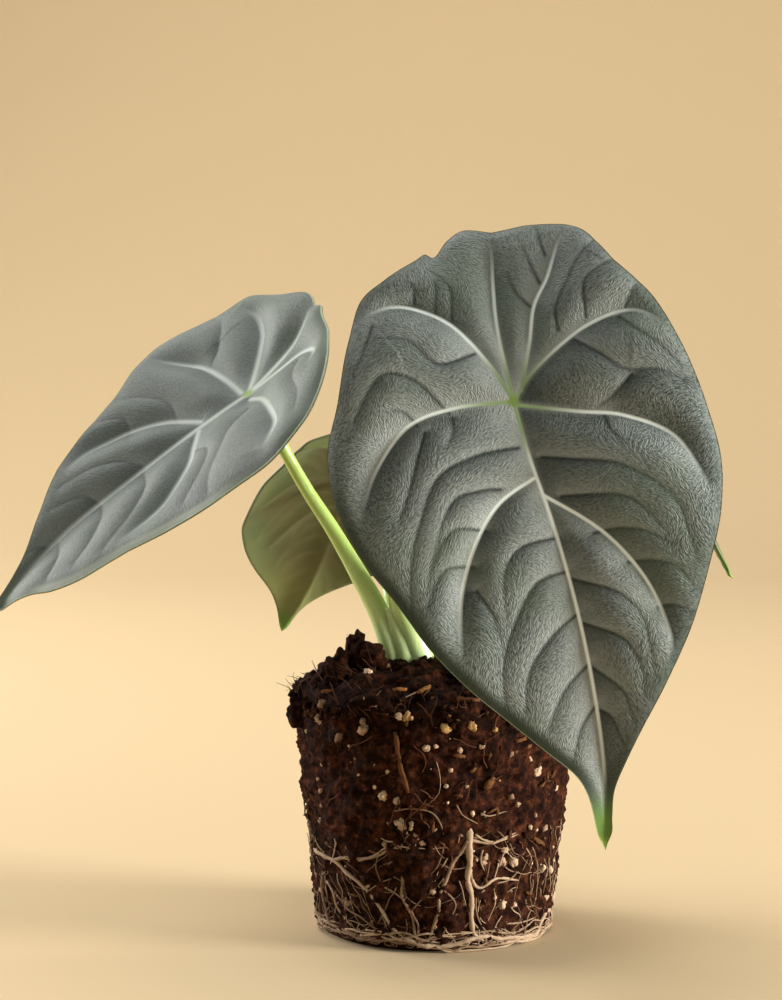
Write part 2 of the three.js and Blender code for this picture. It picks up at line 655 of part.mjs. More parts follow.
function hiddenRoots() {
  const random = randomStream(HIDDEN_ROOTS.seed);
  const routes = [];
  for (let index = 0; index < HIDDEN_ROOTS.count; index += 1) {
    const share = index / (HIDDEN_ROOTS.count - 1);
    const start = THREE.MathUtils.lerp(HIDDEN_ROOTS.first, HIDDEN_ROOTS.last, share) + 8 * random();
    const sway = 26 * (random() - 0.5);
    const foot = 2 + 2 * random();
    routes.push({
      radius: HIDDEN_ROOTS.radius * (0.8 + 0.4 * random()),
      route: [
        [start, HIDDEN_ROOTS.top + 5 * random()],
        [start + 0.4 * sway, 19 + 3 * random()],
        [start + sway, 10 + 3 * random()],
        [start + sway + 8, foot + 1],
        [start + sway + 22, foot],
        [start + sway + 36, 1.8],
      ],
    });
  }
  return routes;
}

function rootTube({ radius, route, forks = false }, extra) {
  const points = route.map(([degrees, height]) => onBall(degrees, height, 0.25));
  if (!forks) {
    const start = new THREE.Vector3(CROWN_CENTRE[0], CROWN_CENTRE[1], CORM_BASE - 3);
    const entry = points[0];
    points.unshift(start, start.clone().lerp(entry, 0.6));
  }
  return taperedTube(points, () => radius + extra, 5, points.length);
}

// The boss under the corm that the roots run out from
function rootBoss(extra) {
  const boss = new THREE.SphereGeometry(2.6 + extra, 10, 6);
  boss.translate(CROWN_CENTRE[0], CROWN_CENTRE[1], CORM_BASE - GAP - 2.7);
  return boss;
}

function rootNetwork(extra) {
  const tubes = [...ROOTS, ...hiddenRoots()].map((root) => solidFrom(rootTube(root, extra)));
  return tubes.reduce((whole, tube) => whole.add(tube), solidFrom(rootBoss(extra)));
}

function rootBall() {
  const filled = ballLumps().reduce((whole, piece) => whole.add(piece), ballBody());
  const flatBase = largestBody(filled);
  const holes = [
    rootNetwork(GAP),
    solidFrom(crown(GAP)),
    ...LEAVES.map((leaf) => solidFrom(stalk(leaf, GAP, STALK_STEPS))),
  ];
  return largestBody(holes.reduce((whole, hole) => whole.subtract(hole), flatBase));
}

const plant = new THREE.Group();
plant.add(shaped("root_ball", geometryOf(rootBall()), SOIL_COLOUR, 0.95));
plant.add(shaped("roots", geometryOf(largestBody(rootNetwork(0))), ROOT_COLOUR, 0.7));
plant.add(shaped("crown", merged(crown(0)), CROWN_COLOUR, 0.5));
LEAVES.forEach((leaf) => {
  plant.add(shaped(`petiole_${leaf.name}`, stalk(leaf, 0, STALK_STEPS), STALK_COLOUR, 0.45));
  plant.add(shaped(`blade_${leaf.name}`, blade(leaf), leaf.colour, 0.5));
});

export default plant;
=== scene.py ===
"""A young alocasia standing on its bare root ball, dressed for rendering.

Lengths are in millimetres until a mesh is made. +Z is up and the large front leaf faces -Y.
"""
import math
from random import Random

import bmesh
import bpy
import numpy as np
from mathutils import Euler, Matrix, Vector, geometry, kdtree, noise


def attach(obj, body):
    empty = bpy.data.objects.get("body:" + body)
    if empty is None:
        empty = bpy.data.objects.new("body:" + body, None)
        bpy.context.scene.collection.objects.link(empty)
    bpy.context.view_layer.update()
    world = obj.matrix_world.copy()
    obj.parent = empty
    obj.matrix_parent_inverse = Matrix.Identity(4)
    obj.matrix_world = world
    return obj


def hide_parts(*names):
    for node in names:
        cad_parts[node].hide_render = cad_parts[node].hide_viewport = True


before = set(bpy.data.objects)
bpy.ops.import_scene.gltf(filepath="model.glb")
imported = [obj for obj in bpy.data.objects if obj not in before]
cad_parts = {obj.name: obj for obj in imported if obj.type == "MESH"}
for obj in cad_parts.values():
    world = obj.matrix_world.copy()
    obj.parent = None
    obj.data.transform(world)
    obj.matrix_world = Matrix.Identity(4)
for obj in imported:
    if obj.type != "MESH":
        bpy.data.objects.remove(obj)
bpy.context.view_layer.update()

MM = 0.001

# Camera, from the photograph's frame of 782 by 1000 pixels
FRAME_HEIGHT_PX = 1000
FRAME_CENTRE_PX = (391, 500)
BASE_PX = (434, 924)
FOCAL_PX = 2756
SENSOR = 36.0
CAMERA_DISTANCE = 650.0
CAMERA_PITCH = math.radians(5)

# Leaf surface. A width is how far from a vein or from the margin a form reaches.
BLADE_THICKNESS = 0.9
EDGE_THICKNESS = 0.5
RELIEF = {
    "main_height": 2.2, "main_width": 6.0, "side_height": 1.5, "side_width": 3.0, "calm_width": 4,
}
VEIN_WALL = {"height": 0.5, "width": 1.3}
MARGIN = {
    "curl": 0.7, "curl_width": 2.5, "droop": 0.8, "droop_width": 4, "wave": 0.35, "wave_width": 7.0,
    "wave_count": 9,
}
VEIN_CORD = 0.25

# Wrinkles: the two cell sizes of the fields they come from, the room round the leaf, how soft the
# veins' pull is, how much the direction strays, and the steps of the smearing each way
WRINKLE = {"coarse_cell": 1.5, "fine_cell": 0.2, "room": 2, "soften": 4, "stray": 1.89, "steps": 2}

# The least room between a blade's rim and the next inner place, in widths of the grid
RIM_ROOM = 0.62

# Stalks: the height of their feet, the straight piece there, the gap below the blade's under side,
# and the straight piece that leads up to it
STALK_START = 61.8
STALK_FOOT = 1.5
STALK_END_GAP = 0.35
STALK_LEAD = 8

# Root ball
BALL_BASE_RADIUS = 27.2
BALL_RIM_RADIUS = 32.7
BALL_RIM_HEIGHT = 57.0
BALL_TOP_HEIGHT = 64.0
BALL_SIDES = 300

# Radii at which lengths along the wall are turned into angles: for the whole wall and for roots
WALL_RADIUS = 31
FOOT_RADIUS = 30

# Waves in the ball's wall and over its mound: size, number round the ball, twist and start
WALL_WAVES = [(0.4, 3, 0.11, 0), (0.35, 7, -0.23, 1), (0.3, 13, 0.41, 2)]
MOUND_WAVES = [(1.2, 4, 6, 0), (1.1, 9, -9, 2), (0.9, 14, 15, 0)]

# How many of each small form are strewn on the ball
COUNTS = {
    "clods": 420, "rim_clods": 260, "perlite": 260, "prills": 7, "bark": 110, "fibres": 330,
    "standing_fibres": 150, "left_fibres": 70, "side_roots": 260, "foot_roots": 44,
}

# The rounded lobe and the notch that end one margin, for the front leaf and the back left leaf
LOBE = [(-7.5, -37.7), (-19.6, -33.1), (-28.4, -29), (-32.4, -22.3), (-35.7, -15.5), (-37.1, -13),
        (-36.1, -10.9), (-40, -7.6), (-42.2, -3.5), (-40, 2.5)]

# The flat layout of the front leaf, as (along, across) from where its stalk is fixed.
# Along runs to the drip tip. Each margin runs between the notch and the tip.
FRONT_LAYOUT = {
    "margins": [
        [(-40, 2.5), (-39.5, 6.6), (-38.8, 13.6), (-35.3, 21.8), (-25, 27.9), (-15.5, 34.7),
         (-4, 38.6), (8, 41), (20, 42), (31, 39.5), (42, 34.5), (54, 28), (65, 20), (74, 13),
         (82, 7.5), (88, 4.2), (94, 2.6), (98, 1.8), (102, -0.4)],
        [(102, -0.4), (98, -1.3), (92, -1.4), (87, -1.8), (82, -3.5), (76, -8), (67, -15),
         (58, -22), (48, -28.5), (37, -34), (27, -39.5), (15, -43), (3.2, -42.7), *LOBE],
    ],
    "main_veins": [
        [(0, 0), (13, 1), (28, 3), (47, 4.3), (66, 4.2), (84, 2.8), (100, -0.2)],
        [(0, 0), (-10, -4), (-20, -10.5), (-25.5, -19.5), (-25, -27.5), (-22, -31)],
        [(0, 0), (-6, 6), (-12.5, 18), (-14, 29), (-9.5, 36)],
        [(-1, 0), (-16, -0.4), (-27, 0.5), (-38, 2.3)],
        [(-2, 2), (-12, 5.8), (-20, 8.3), (-26, 12.4), (-33.4, 16.5), (-36, 20)],
        [(0, 0), (-1, -12), (1, -23.5), (9, -32.5), (18.5, -37.5)],
        [(1, 1), (5, 13), (8, 23), (14.5, 33), (26, 38)],
        [(17, 1), (21, -7.5), (29, -14.5), (39, -19.5), (50, -21.7)],
        [(21, 2.2), (31, 13), (42.5, 20), (54.5, 23), (60, 22)],
    ],
    "side_veins": [
        [(-20, 7.5), (-24, 5), (-29, 4)],
        [(-25, 10.5), (-29.5, 9.5), (-34, 8.5)],
        [(-31, 13), (-35, 12.5), (-38.5, 12.5)],
        [(-13, 12.5), (-18, 13), (-24, 17), (-28, 20), (-32, 25)],
        [(-14.5, 19), (-21.5, 20), (-24, 23), (-26, 28)],
        [(-15, 28), (-19, 31)],
        [(-10.5, 15), (-6, 20), (-1.5, 25), (0, 32), (3, 37)],
        [(0, 26), (3.5, 21), (5, 17.5)],
        [(-13, 26), (-9, 29.5), (-5.5, 33), (0, 37)],
        [(7, 18.5), (10, 19), (13, 21)],
        [(13, 3.5), (14.5, 9), (18, 20), (26, 29), (33, 31), (40, 31.5)],
        [(22, 6), (24, 18), (28, 23), (34, 26.5)],
        [(31, 11), (31, 17), (32.5, 22), (36, 27)],
        [(38.5, 17), (39, 22.5), (41, 27), (46, 30)],
        [(49, 21.5), (49, 25), (51, 28)],
        [(39.5, 4), (43, 12), (46, 15.5), (51, 18), (62, 18)],
        [(49.5, 5), (54, 13), (61, 15.5), (66, 15)],
        [(59.5, 5), (65, 10.5), (72, 11.5)],
        [(69, 4.7), (71, 7), (78, 8.5)],
        [(-20.5, -9.5), (-28, -9), (-33, -13)],
        [(-22, -13), (-27, -12), (-30, -12)],
        [(-26, -17), (-29, -16.5), (-31, -18)],
        [(0, -14), (-7.5, -19.5), (-10.5, -25), (-9, -29), (-2, -35)],
        [(-12, -6), (-10.5, -13), (-12, -16), (-17, -20), (-19, -27)],
        [(-22, -27), (-17, -29.5), (-12, -33)],
        [(1, -21.5), (-2, -23.5), (-3, -26)],
        [(1, -13.5), (4, -14), (6.5, -15.5)],
        [(3, -20), (10, -23.5), (15, -26), (20, -29)],
        [(10, -1), (10, -10), (13, -19), (21, -24.5), (31, -29), (42, -31)],
        [(18, -6.5), (17.5, -11), (19, -17.5), (30, -24), (36, -26.5)],
        [(26, -11.5), (24.5, -18), (29, -23), (34, -25)],
        [(33, -15.5), (32.5, -22), (39, -27)],
        [(30.5, 2.5), (31, -5), (36, -9.5), (46, -11)],
        [(38, -16), (44, -13.5), (51, -13)],
        [(38, 3.5), (39, -3), (45, -8.5), (54, -13.5), (63, -15)],
        [(47.5, 4), (51, -2.5), (57, -8.5), (65, -11)],
        [(58.5, 4.5), (63, -2), (70, -7)],
        [(68, 4), (72, 0), (78, -3)],
    ],
}

# The back left leaf has the front leaf's veins and is rounder on one side.
BACK_LAYOUT = {
    **FRONT_LAYOUT,
    "margins": [
        FRONT_LAYOUT["margins"][0],
        [(102, -0.4), (98, -2.6), (92, -5), (87, -7.5), (82, -10.5), (76, -15), (67, -22.5),
         (58, -29), (48, -35), (37, -40), (27, -43.5), (15, -44.5), (3.2, -42.2), *LOBE],
    ],
}

# The flat layout of the left leaf, in the same terms
LEFT_LAYOUT = {
    "margins": [
        [(-25.6, -2.5), (-26.5, 2), (-24.8, 6.5), (-22.4, 14.5), (-18.7, 23.5), (-10.1, 29.5),
         (-2.4, 34), (6.2, 34.6), (15.5, 31.7), (25.6, 28), (34.7, 22.3), (45.2, 16), (56, 11.4),
         (62.9, 6.4), (67.3, 1.2), (72.3, -2.9), (79, -5.5)],
        [(79, -5.5), (71.3, -6.9), (62.7, -9.6), (53, -15), (45, -20.2), (38, -23.5),
         (29, -26.7), (20.3, -30), (10.3, -34.8), (0.7, -35.8), (-9.7, -31.3), (-18.5, -28),
         (-23.5, -15.6), (-27, -8), (-25.6, -2.5)],
    ],
    "main_veins": [
        [(0, 0), (13, -2.3), (33, -4.5), (50, -6.2), (66.6, -6), (74, -4.7)],
        [(0, 0), (-5, -5), (-10, -10.3), (-13.4, -15), (-15.4, -21.3), (-14, -27)],
        [(0, 0), (-9, 2), (-15, 5), (-17, 11), (-14, 18)],
        [(0, 0), (-7.7, -0.7), (-13.5, -1.2), (-24, -2.6)],
        [(1, -2), (1, -9), (2, -17.6), (4.3, -23.7), (10.6, -33)],
        [(0.7, 3), (-0.9, 7.3), (0, 15), (2, 21.5), (8, 29)],
        [(12.2, -3.6), (18, -11.6), (26, -17.2), (35.5, -19.8), (43, -19)],
        [(14.2, -1.5), (17.7, 2.3), (22.4, 7.2), (33, 11.7), (44.6, 12)],
    ],
    "side_veins": [
        [(0.5, -18), (-3, -20), (-8, -26), (-8, -30)],
        [(16, -9.5), (14.5, -14), (16.5, -20), (22, -27)],
        [(25.5, -16.5), (24.5, -21), (29, -25)],
        [(29, -5), (32, -10), (38, -14), (46, -16)],
        [(42, -6), (44, -10), (51, -13)],
        [(57, -6.5), (60, -9), (64, -9)],
        [(3, 7), (9, 9), (14, 14), (20, 20), (23, 25)],
        [(18, 4), (16, 9), (20, 15), (28, 20)],
        [(30, -3), (32, 3), (38, 7), (48, 10)],
        [(42, -4.5), (44, 0), (49, 4), (55, 6)],
        [(55, -5), (57, -1), (62, 2)],
        [(-13, 8), (-9, 14), (-7, 22), (-3, 28)],
    ],
}

# What the two near leaves share, and what the two back leaves share. The grids are the sizes of the
# triangles on both sides, and a mirrored leaf has its layout turned over.
NEAR_LEAF = {
    "slot": "leaf_upper", "rib": 0.5, "scale": 1.0, "mirror": 1, "upper_grid": 0.335, "under_grid": 1.5,
}
BACK_LEAF = {
    "look": "leaf_silver", "slot": "leaf_under", "rib": 0.12, "wrinkle": 0.012, "lit_side": (-1, 0),
    "mirror": -1, "upper_grid": 0.6, "under_grid": 0.6, "tip_reach": 65, "back_reach": 25, "fold_soft": 4,
}

# Each leaf: where its stalk meets the blade, the way its tip points and the way it faces.
# Droop is the bend along the blade in degrees, radius and fold shape it across.
# Lit side is the way across a flat layout towards which the painted highlight by the veins lies; painted
# shade lies the other way.
LEAVES = [
    {
        **NEAR_LEAF, "name": "front", "look": "leaf_silver", "layout": FRONT_LAYOUT, "wrinkle": 0.022,
        "lit_side": (-0.35, -0.94),
        "origin": (16.1, -50, 125.9), "tip": (0.19, -0.22, -0.95), "face": (-0.05, -1, 0),
        "tip_reach": 105, "back_reach": 40, "tip_droop": 32, "back_droop": 30,
        "fold": 0.28, "fold_soft": 8, "radius": 85, "twist": 0,
        "stalk": [(-3, -1.6, STALK_START), (-4, -1.8, 66), (-6, -2.3, 71.7), (-7.9, -3.1, 76.5),
                  (-8, -4.6, 82), (-4.6, -9.5, 92), (4, -21, 107), (13, -33, 119)],
        "stalk_radii": [3.1, 2.8, 2.5, 2.3, 2.15, 2.05, 2, 2, 2.1],
    },
    {
        **NEAR_LEAF, "name": "left", "look": "leaf_grey", "layout": LEFT_LAYOUT, "wrinkle": 0.006,
        "lit_side": (-1, 0),
        "origin": (-43, -8, 125.7), "tip": (-0.75, -0.18, -0.63), "face": (-0.49, -0.48, 0.72),
        "tip_reach": 80, "back_reach": 30, "tip_droop": 8, "back_droop": -20,
        "fold": 0.18, "fold_soft": 5, "radius": 200, "twist": -20,
        "stalk": [(-9.6, -1, STALK_START), (-10.1, -1, 66), (-12, -0.7, 71.7), (-13.9, -0.7, 76),
                  (-18.6, -0.5, 84.7), (-23.8, 0, 93.6), (-29.6, 0, 102.6), (-34.1, -0.6, 110.6)],
        "stalk_radii": [2.9, 2.6, 2.35, 1.95, 1.7, 1.55, 1.45, 1.4, 1.6],
    },
    {
        **BACK_LEAF, "name": "back_left", "layout": BACK_LAYOUT, "scale": 0.56,
        "origin": (-20.5, 38, 102.5), "tip": (-0.32, 0.66, -0.68), "face": (-0.04, 0.71, 0.7),
        "tip_droop": 12, "back_droop": 20, "fold": -0.02, "radius": 32.7, "twist": 0,
        "stalk": [(-7.6, 4.3, STALK_START), (-8.6, 4.6, 68), (-10.2, 7, 77), (-12.4, 14, 84.5),
                  (-16, 23, 91)],
        "stalk_radii": [2.1, 1.8, 1.4, 1.25, 1.3],
    },
    {
        **BACK_LEAF, "name": "back_right", "layout": FRONT_LAYOUT, "scale": 0.59,
        "origin": (34.1, 34, 123.1), "tip": (0.81, -0.23, -0.54), "face": (0.58, 0.16, 0.8),
        "tip_droop": 31, "back_droop": 20, "fold": 0.1, "radius": 50, "twist": 0,
        "stalk": [(-1.6, 4.4, STALK_START), (-2.6, 5, 69), (-1.5, 7.5, 80), (5, 14, 95), (17, 25, 108)],
        "stalk_radii": [2.1, 1.8, 1.5, 1.35, 1.35],
    },
]

# The two leaf skins: their colours, and how strongly each mark shows. The sheen on the wrinkle crests is
# painted, as are the shade in their furrows, the highlight and shade by the veins and the shade in the
# creases.
LEAF_LOOKS = {
    "leaf_silver": {
        "dark": (0.085, 0.108, 0.096), "light": (0.14, 0.166, 0.15), "greener": 0.3, "lobe": 0.4,
        "crest_sheen": 0.65, "furrow_shade": 0.65, "bump": 0.25, "shade": 0.95, "lit": 0.85, "crease": 0.95,
        "cord": 1.0, "cord_width": 0.6, "band": 0.9, "green_tip": 1.0, "pale_edge": 0.0,
        "spot_green": 1.0, "lobe_colour": (0.22, 0.245, 0.2), "tip_pale": 0.35, "rim": (0.14, 0.15, 0.07),
    },
    "leaf_grey": {
        "dark": (0.104, 0.122, 0.106), "light": (0.15, 0.168, 0.149), "greener": 0.15, "lobe": 0.35,
        "crest_sheen": 0.25, "furrow_shade": 0.2, "bump": 0.14, "shade": 0.65, "lit": 0.35, "crease": 0.4,
        "cord": 0.42, "cord_width": 1.0, "band": 0.2, "green_tip": 0.1, "pale_edge": 0.75,
        "spot_green": 0.35, "lobe_colour": (0.085, 0.112, 0.085), "tip_pale": 0.35, "rim": (0.2, 0.23, 0.15),
    },
}

# The skin that joins the two front stalks near their feet
SHEATH = {
    "points": [(-6.4, -1.7, STALK_START), (-7.1, -1.9, 66), (-9.1, -2.1, 71.7), (-10.6, -2.5, 75.6)],
    "radii": [2.8, 2.5, 2.1, 1.1],
}

# Roots on the ball's surface, as (angle, height): degrees round from the front towards +X, and mm.
# A root starts inside at the corm, unless it forks from a point that it shares with another root.
ROOTS = [
    {"radius": 1.1, "route": [(13, 31), (14, 26.3), (15, 18.5), (16, 12.2), (17, 5), (24, 2.2)]},
    {"radius": 0.7, "forks": True, "route": [(14, 26.3), (8, 22), (3, 14.6), (0, 8), (-5, 2.2)]},
    {"radius": 0.7, "route": [(-13, 26), (-14, 20), (-15, 14.8), (-11, 6.9), (-9, 2.4)]},
    {"radius": 0.75, "route": [(-80, 22), (-72, 20.4), (-54, 19.1), (-40, 16.1), (-30, 12),
                               (-21, 6.6), (-15, 2.8)]},
    {"radius": 0.7, "route": [(-62, 26), (-64, 14), (-65, 6.9), (-57, 3), (-39, 2.6), (-20, 2.4),
                              (-5, 1.8)]},
    {"radius": 0.8, "forks": True, "route": [(-15, 2.8), (-5, 1.8), (11, 2.2), (23, 3.4),
                                             (42, 1.7), (58, 1.9), (70, 5.4), (84, 3), (100, 2)]},
    {"radius": 0.55, "forks": True, "route": [(15, 18.5), (20, 15), (27, 16.4), (40, 15.6)]},
    {"radius": 0.55, "forks": True, "route": [(-54, 19.1), (-46, 20.3), (-32, 21.3), (-20, 24),
                                              (-10, 23.8)]},
    {"radius": 0.55, "forks": True, "route": [(14, 26.3), (27, 25.3), (38, 26.8)]},
]
BACK_ROOTS = {"first": 98, "last": 262, "count": 7, "top": 27, "radius": 0.75}

# Thin roots on the front, as (column, row) in the photograph, with their radius
THIN_ROOTS_PX = [
    (0.28, [(393, 811), (412, 809), (431, 812), (442, 826), (443, 845), (437, 867), (425, 878)]),
    (0.25, [(457, 805), (464, 815), (478, 824)]),
    (0.11, [(436, 762), (440, 778), (438, 793), (430, 804)]),
    (0.25, [(481, 813), (488, 816), (506, 811)]),
    (0.35, [(476, 835), (485, 841), (499, 841), (518, 834)]),
    (0.35, [(344, 858), (360, 861), (374, 855), (384, 848), (403, 847), (417, 852), (433, 857)]),
    (0.4, [(419, 838), (409, 845), (403, 857), (396, 869)]),
    (0.35, [(337, 895), (348, 909), (363, 918), (374, 928), (393, 935)]),
    (0.35, [(431, 881), (443, 890), (455, 904), (452, 918), (455, 936)]),
    (0.3, [(443, 878), (431, 893), (422, 900), (409, 914)]),
    (0.35, [(481, 893), (492, 885), (506, 881), (518, 871)]),
    (0.3, [(499, 867), (506, 852), (516, 862)]),
    (0.35, [(483, 850), (481, 862), (485, 871)]),
    (0.4, [(417, 940), (419, 926), (412, 914), (407, 902), (404, 884)]),
    (0.35, [(433, 930), (436, 914), (440, 900)]),
    (0.35, [(443, 935), (455, 916), (466, 907)]),
    (0.35, [(476, 895), (477, 914), (485, 930), (494, 940)]),
    (0.35, [(506, 923), (518, 923), (535, 918)]),
    (0.3, [(330, 859), (318, 845), (315, 836)]),
    (0.3, [(337, 841), (334, 855), (330, 864)]),
    (0.3, [(525, 848), (532, 859), (530, 871)]),
    (0.45, [(327, 881), (334, 893), (337, 907), (351, 926)]),
    (0.35, [(381, 885), (398, 895), (407, 904)]),
    (0.3, [(367, 893), (379, 883), (391, 878)]),
    (0.3, [(400, 700), (416, 692), (430, 688), (424, 696)]),
]

# Grains of perlite on the front, as (column, row) in the photograph, radius in mm and paleness
PERLITE_PX = [
    (385, 795, 1.5, 1.0), (401, 826, 1.5, 0.8), (435, 832, 1.35, 0.75), (416, 836, 1.1, 0.6),
    (424, 842, 1.2, 0.5), (528, 761, 1.25, 0.7), (537, 772, 1.6, 0.7), (363, 730, 1.4, 0.6),
    (362, 722, 0.8, 0.3), (369, 674, 1.1, 0.9), (321, 721, 1.2, 0.6), (323, 704, 1.1, 0.3),
    (426, 748, 0.9, 0.8), (376, 764, 0.8, 0.8), (483, 857, 1.1, 0.4), (484, 863, 0.8, 0.4),
    (506, 850, 0.9, 0.8), (512, 862, 1.2, 0.7), (502, 862, 1.0, 0.5), (542, 869, 0.95, 1.0),
    (501, 906, 1.15, 0.8), (513, 905, 0.75, 0.8), (338, 842, 1.3, 0.4), (320, 822, 0.8, 0.5),
    (339, 784, 0.75, 0.6), (322, 805, 0.6, 0.6), (321, 791, 0.6, 0.6), (359, 774, 0.6, 0.9),
    (387, 772, 0.5, 0.8), (482, 747, 0.6, 0.8), (467, 786, 0.45, 0.8), (446, 786, 0.5, 0.9),
    (436, 747, 0.5, 0.8), (340, 738, 1.1, 0.1), (321, 744, 0.9, 0.3), (555, 788, 0.7, 1.0),
    (530, 828, 0.6, 0.7), (518, 805, 0.6, 0.4), (483, 814, 0.6, 0.5), (453, 832, 0.8, 0.3),
    (510, 754, 0.9, 0.1), (459, 751, 0.7, 0.5), (545, 896, 0.9, 0.6), (347, 903, 0.9, 0.4),
    (412, 824, 0.6, 0.5), (389, 824, 0.6, 0.5), (334, 894, 0.6, 0.5), (368, 886, 0.5, 0.9),
]

# Feed prills and tan crumbs on the front, as (column, row), radius in mm and paleness
PRILLS_PX = [
    (446, 728, 1.25, 1.0), (450, 727, 0.7, 0.6), (459, 720, 1.0, 0.3), (473, 725, 1.35, 0.6),
    (475, 729, 0.8, 0.2), (495, 730, 0.85, 0.5), (407, 717, 1.2, 0.7), (411, 718, 0.8, 0.4),
    (450, 715, 0.5, 0.3), (387, 666, 0.8, 0.1),
]

# Clods that stand out of the mound and the rim: place, size and lean
CLODS = [
    ((-18.8, -7, 64.5), (2.6, 2.6, 6.5), 0.15), ((-14.6, -9, 63.5), (3, 3, 4.2), -0.2),
    ((-24, -10, 60.5), (3.6, 3.2, 4), 0.3), ((-29.5, -4, 57.5), (2.6, 3, 3), 0.5),
    ((8, -12, 61), (4.5, 3.6, 3), 0.1), ((17, 6, 59.5), (4.2, 4, 3), -0.2),
    ((-6, 18, 60), (4.5, 3.4, 3.2), 0.2), ((24, -8, 57), (3.4, 3.8, 2.8), 0.3),
    ((-31.2, -9, 52.5), (2.6, 3, 4.2), 0.0), ((-21.5, -9, 62.5), (2.4, 2.6, 4.5), -0.1),
]

# Strips of bark and curled shavings on the front, as (column, row) at both ends, width in mm
# and paleness
BARK_PX = [
    ((395, 732), (400, 763), 1.2, 0.3), ((399, 760), (408, 793), 1.1, 0.35),
    ((324, 672), (358, 669), 1.9, 0.8), ((431, 698), (480, 700), 1.1, 0.4),
    ((393, 690), (407, 689), 1.0, 1.0),
    ((417, 693), (431, 686), 1.1, 1.2), ((400, 702), (407, 696), 0.5, 0.7),
    ((516, 742), (538, 731), 1.0, 0.4), ((485, 789), (494, 777), 1.8, 0.4),
    ((372, 648), (383, 662), 1.4, 0.3), ((322, 692), (333, 690), 1.2, 0.6),
    ((470, 772), (476, 768), 0.7, 0.5),
    ((308, 706), (312, 718), 0.9, 0.2), ((533, 838), (544, 845), 1.0, 0.3),
]


# Mesh helpers

def make_object(name, places, faces, attributes=None):
    """A smooth mesh object from places in millimetres, with point attributes."""
    mesh = bpy.data.meshes.new(name)
    mesh.from_pydata((np.asarray(places, float) * MM).tolist(), [], faces)
    mesh.polygons.foreach_set("use_smooth", [True] * len(mesh.polygons))
    for key, values in (attributes or {}).items():
        values = np.asarray(values, np.float32)
        kind, slot = ("FLOAT_VECTOR", "vector") if values.ndim == 2 else ("FLOAT", "value")
        mesh.attributes.new(key, kind, "POINT").data.foreach_set(slot, values.ravel())
    mesh.update()
    piece = bpy.data.objects.new(name, mesh)
    bpy.context.scene.collection.objects.link(piece)
    return piece


def place_piece(piece, material, slot, *nodes):
    piece.data.materials.append(material)
    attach(piece, "root")
    if nodes:
        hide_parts(*nodes)


class Batch:
    """Many small closed meshes joined in one, each with its own shade."""

    def __init__(self):
        self.places, self.faces, self.shades = [], [], []

    def add(self, places, faces, shade):
        start = len(self.places)
        self.places.extend(tuple(place) for place in places)
        self.faces.extend([start + corner for corner in face] for face in faces)
        self.shades.extend([shade] * len(places))

    def place(self, name, material, slot, *nodes):
        piece = make_object(name, self.places, self.faces, {"shade": self.shades})
        place_piece(piece, material, slot, *nodes)


# Curves

def spaced(line, steps, count):
    """A line's places spread evenly, from the lengths of its steps."""
    reach = np.concatenate([[0], np.cumsum(steps)])
    wanted = np.linspace(0, reach[-1], count)
    return np.stack([np.interp(wanted, reach, values) for values in line.T], 1)


def smooth_line(points, spacing):
    """An even Catmull-Rom curve through flat points."""
    points = np.array(points, float)
    padded = np.vstack([points[:1], points, points[-1:]])
    t = np.linspace(0, 1, 16, endpoint=False)[:, None]
    parts = []
    for index in range(len(points) - 1):
        p0, p1, p2, p3 = padded[index:index + 4]
        bend = (2 * p0 - 5 * p1 + 4 * p2 - p3) * t ** 2 + (3 * p1 - p0 - 3 * p2 + p3) * t ** 3
        parts.append(0.5 * (2 * p1 + (p2 - p0) * t + bend))
    line = np.vstack(parts + [points[-1:]])
    steps = np.hypot(*np.diff(line, axis=0).T)
    return spaced(line, steps, max(2, round(steps.sum() / spacing)) + 1)


def between(t, t0, t1, start, end):
    return (t1 - t) / (t1 - t0) * start + (t - t0) / (t1 - t0) * end


def space_curve(points, count):
    """A centripetal Catmull-Rom curve through places, as evenly spaced places."""
    points = [np.array(point, float) for point in points]
    points = [2 * points[0] - points[1]] + points + [2 * points[-1] - points[-2]]
    parts = []
    for p0, p1, p2, p3 in zip(points, points[1:], points[2:], points[3:]):
        t1 = np.linalg.norm(p1 - p0) ** 0.5
        t2 = t1 + np.linalg.norm(p2 - p1) ** 0.5
        t3 = t2 + np.linalg.norm(p3 - p2) ** 0.5
        t = np.linspace(t1, t2, 12, endpoint=False)[:, None]
        a1, a2, a3 = between(t, 0, t1, p0, p1), between(t, t1, t2, p1, p2), between(t, t2, t3, p2, p3)
        b1, b2 = between(t, 0, t2, a1, a2), between(t, t1, t3, a2, a3)
        parts.append(between(t, t1, t2, b1, b2))
    line = np.vstack(parts + [points[-2][None]])
    return spaced(line, np.linalg.norm(np.diff(line, axis=0), axis=1), count)


def measured_lines(points, lines):
    """For each line: every point's distance to it, step away from it and place along it."""
    measured = []
    for line in lines:
        best = np.full(len(points), 1e9)
        away = np.zeros((len(points), 2))
        share_along = np.zeros(len(points))
        for index, (start, end) in enumerate(zip(line, line[1:])):
            edge = end - start
            share = np.clip(((points - start) @ edge) / (edge @ edge), 0, 1)
            gap = points - start - share[:, None] * edge
            distance = np.hypot(*gap.T)
            closer = distance < best
            best[closer], away[closer] = distance[closer], gap[closer]
            share_along[closer] = (index + share[closer]) / (len(line) - 1)
        measured.append((best, away, share_along))
    return measured


def inside_outline(points, outline):
    inside = np.zeros(len(points), bool)
    x, y = points.T
    for start, end in zip(outline, np.roll(outline, -1, axis=0)):
        if start[1] != end[1]:
            at = (end[0] - start[0]) * (y - start[1]) / (end[1] - start[1]) + start[0]
            inside ^= ((start[1] > y) != (end[1] > y)) & (x < at)
    return inside


# Leaf blades

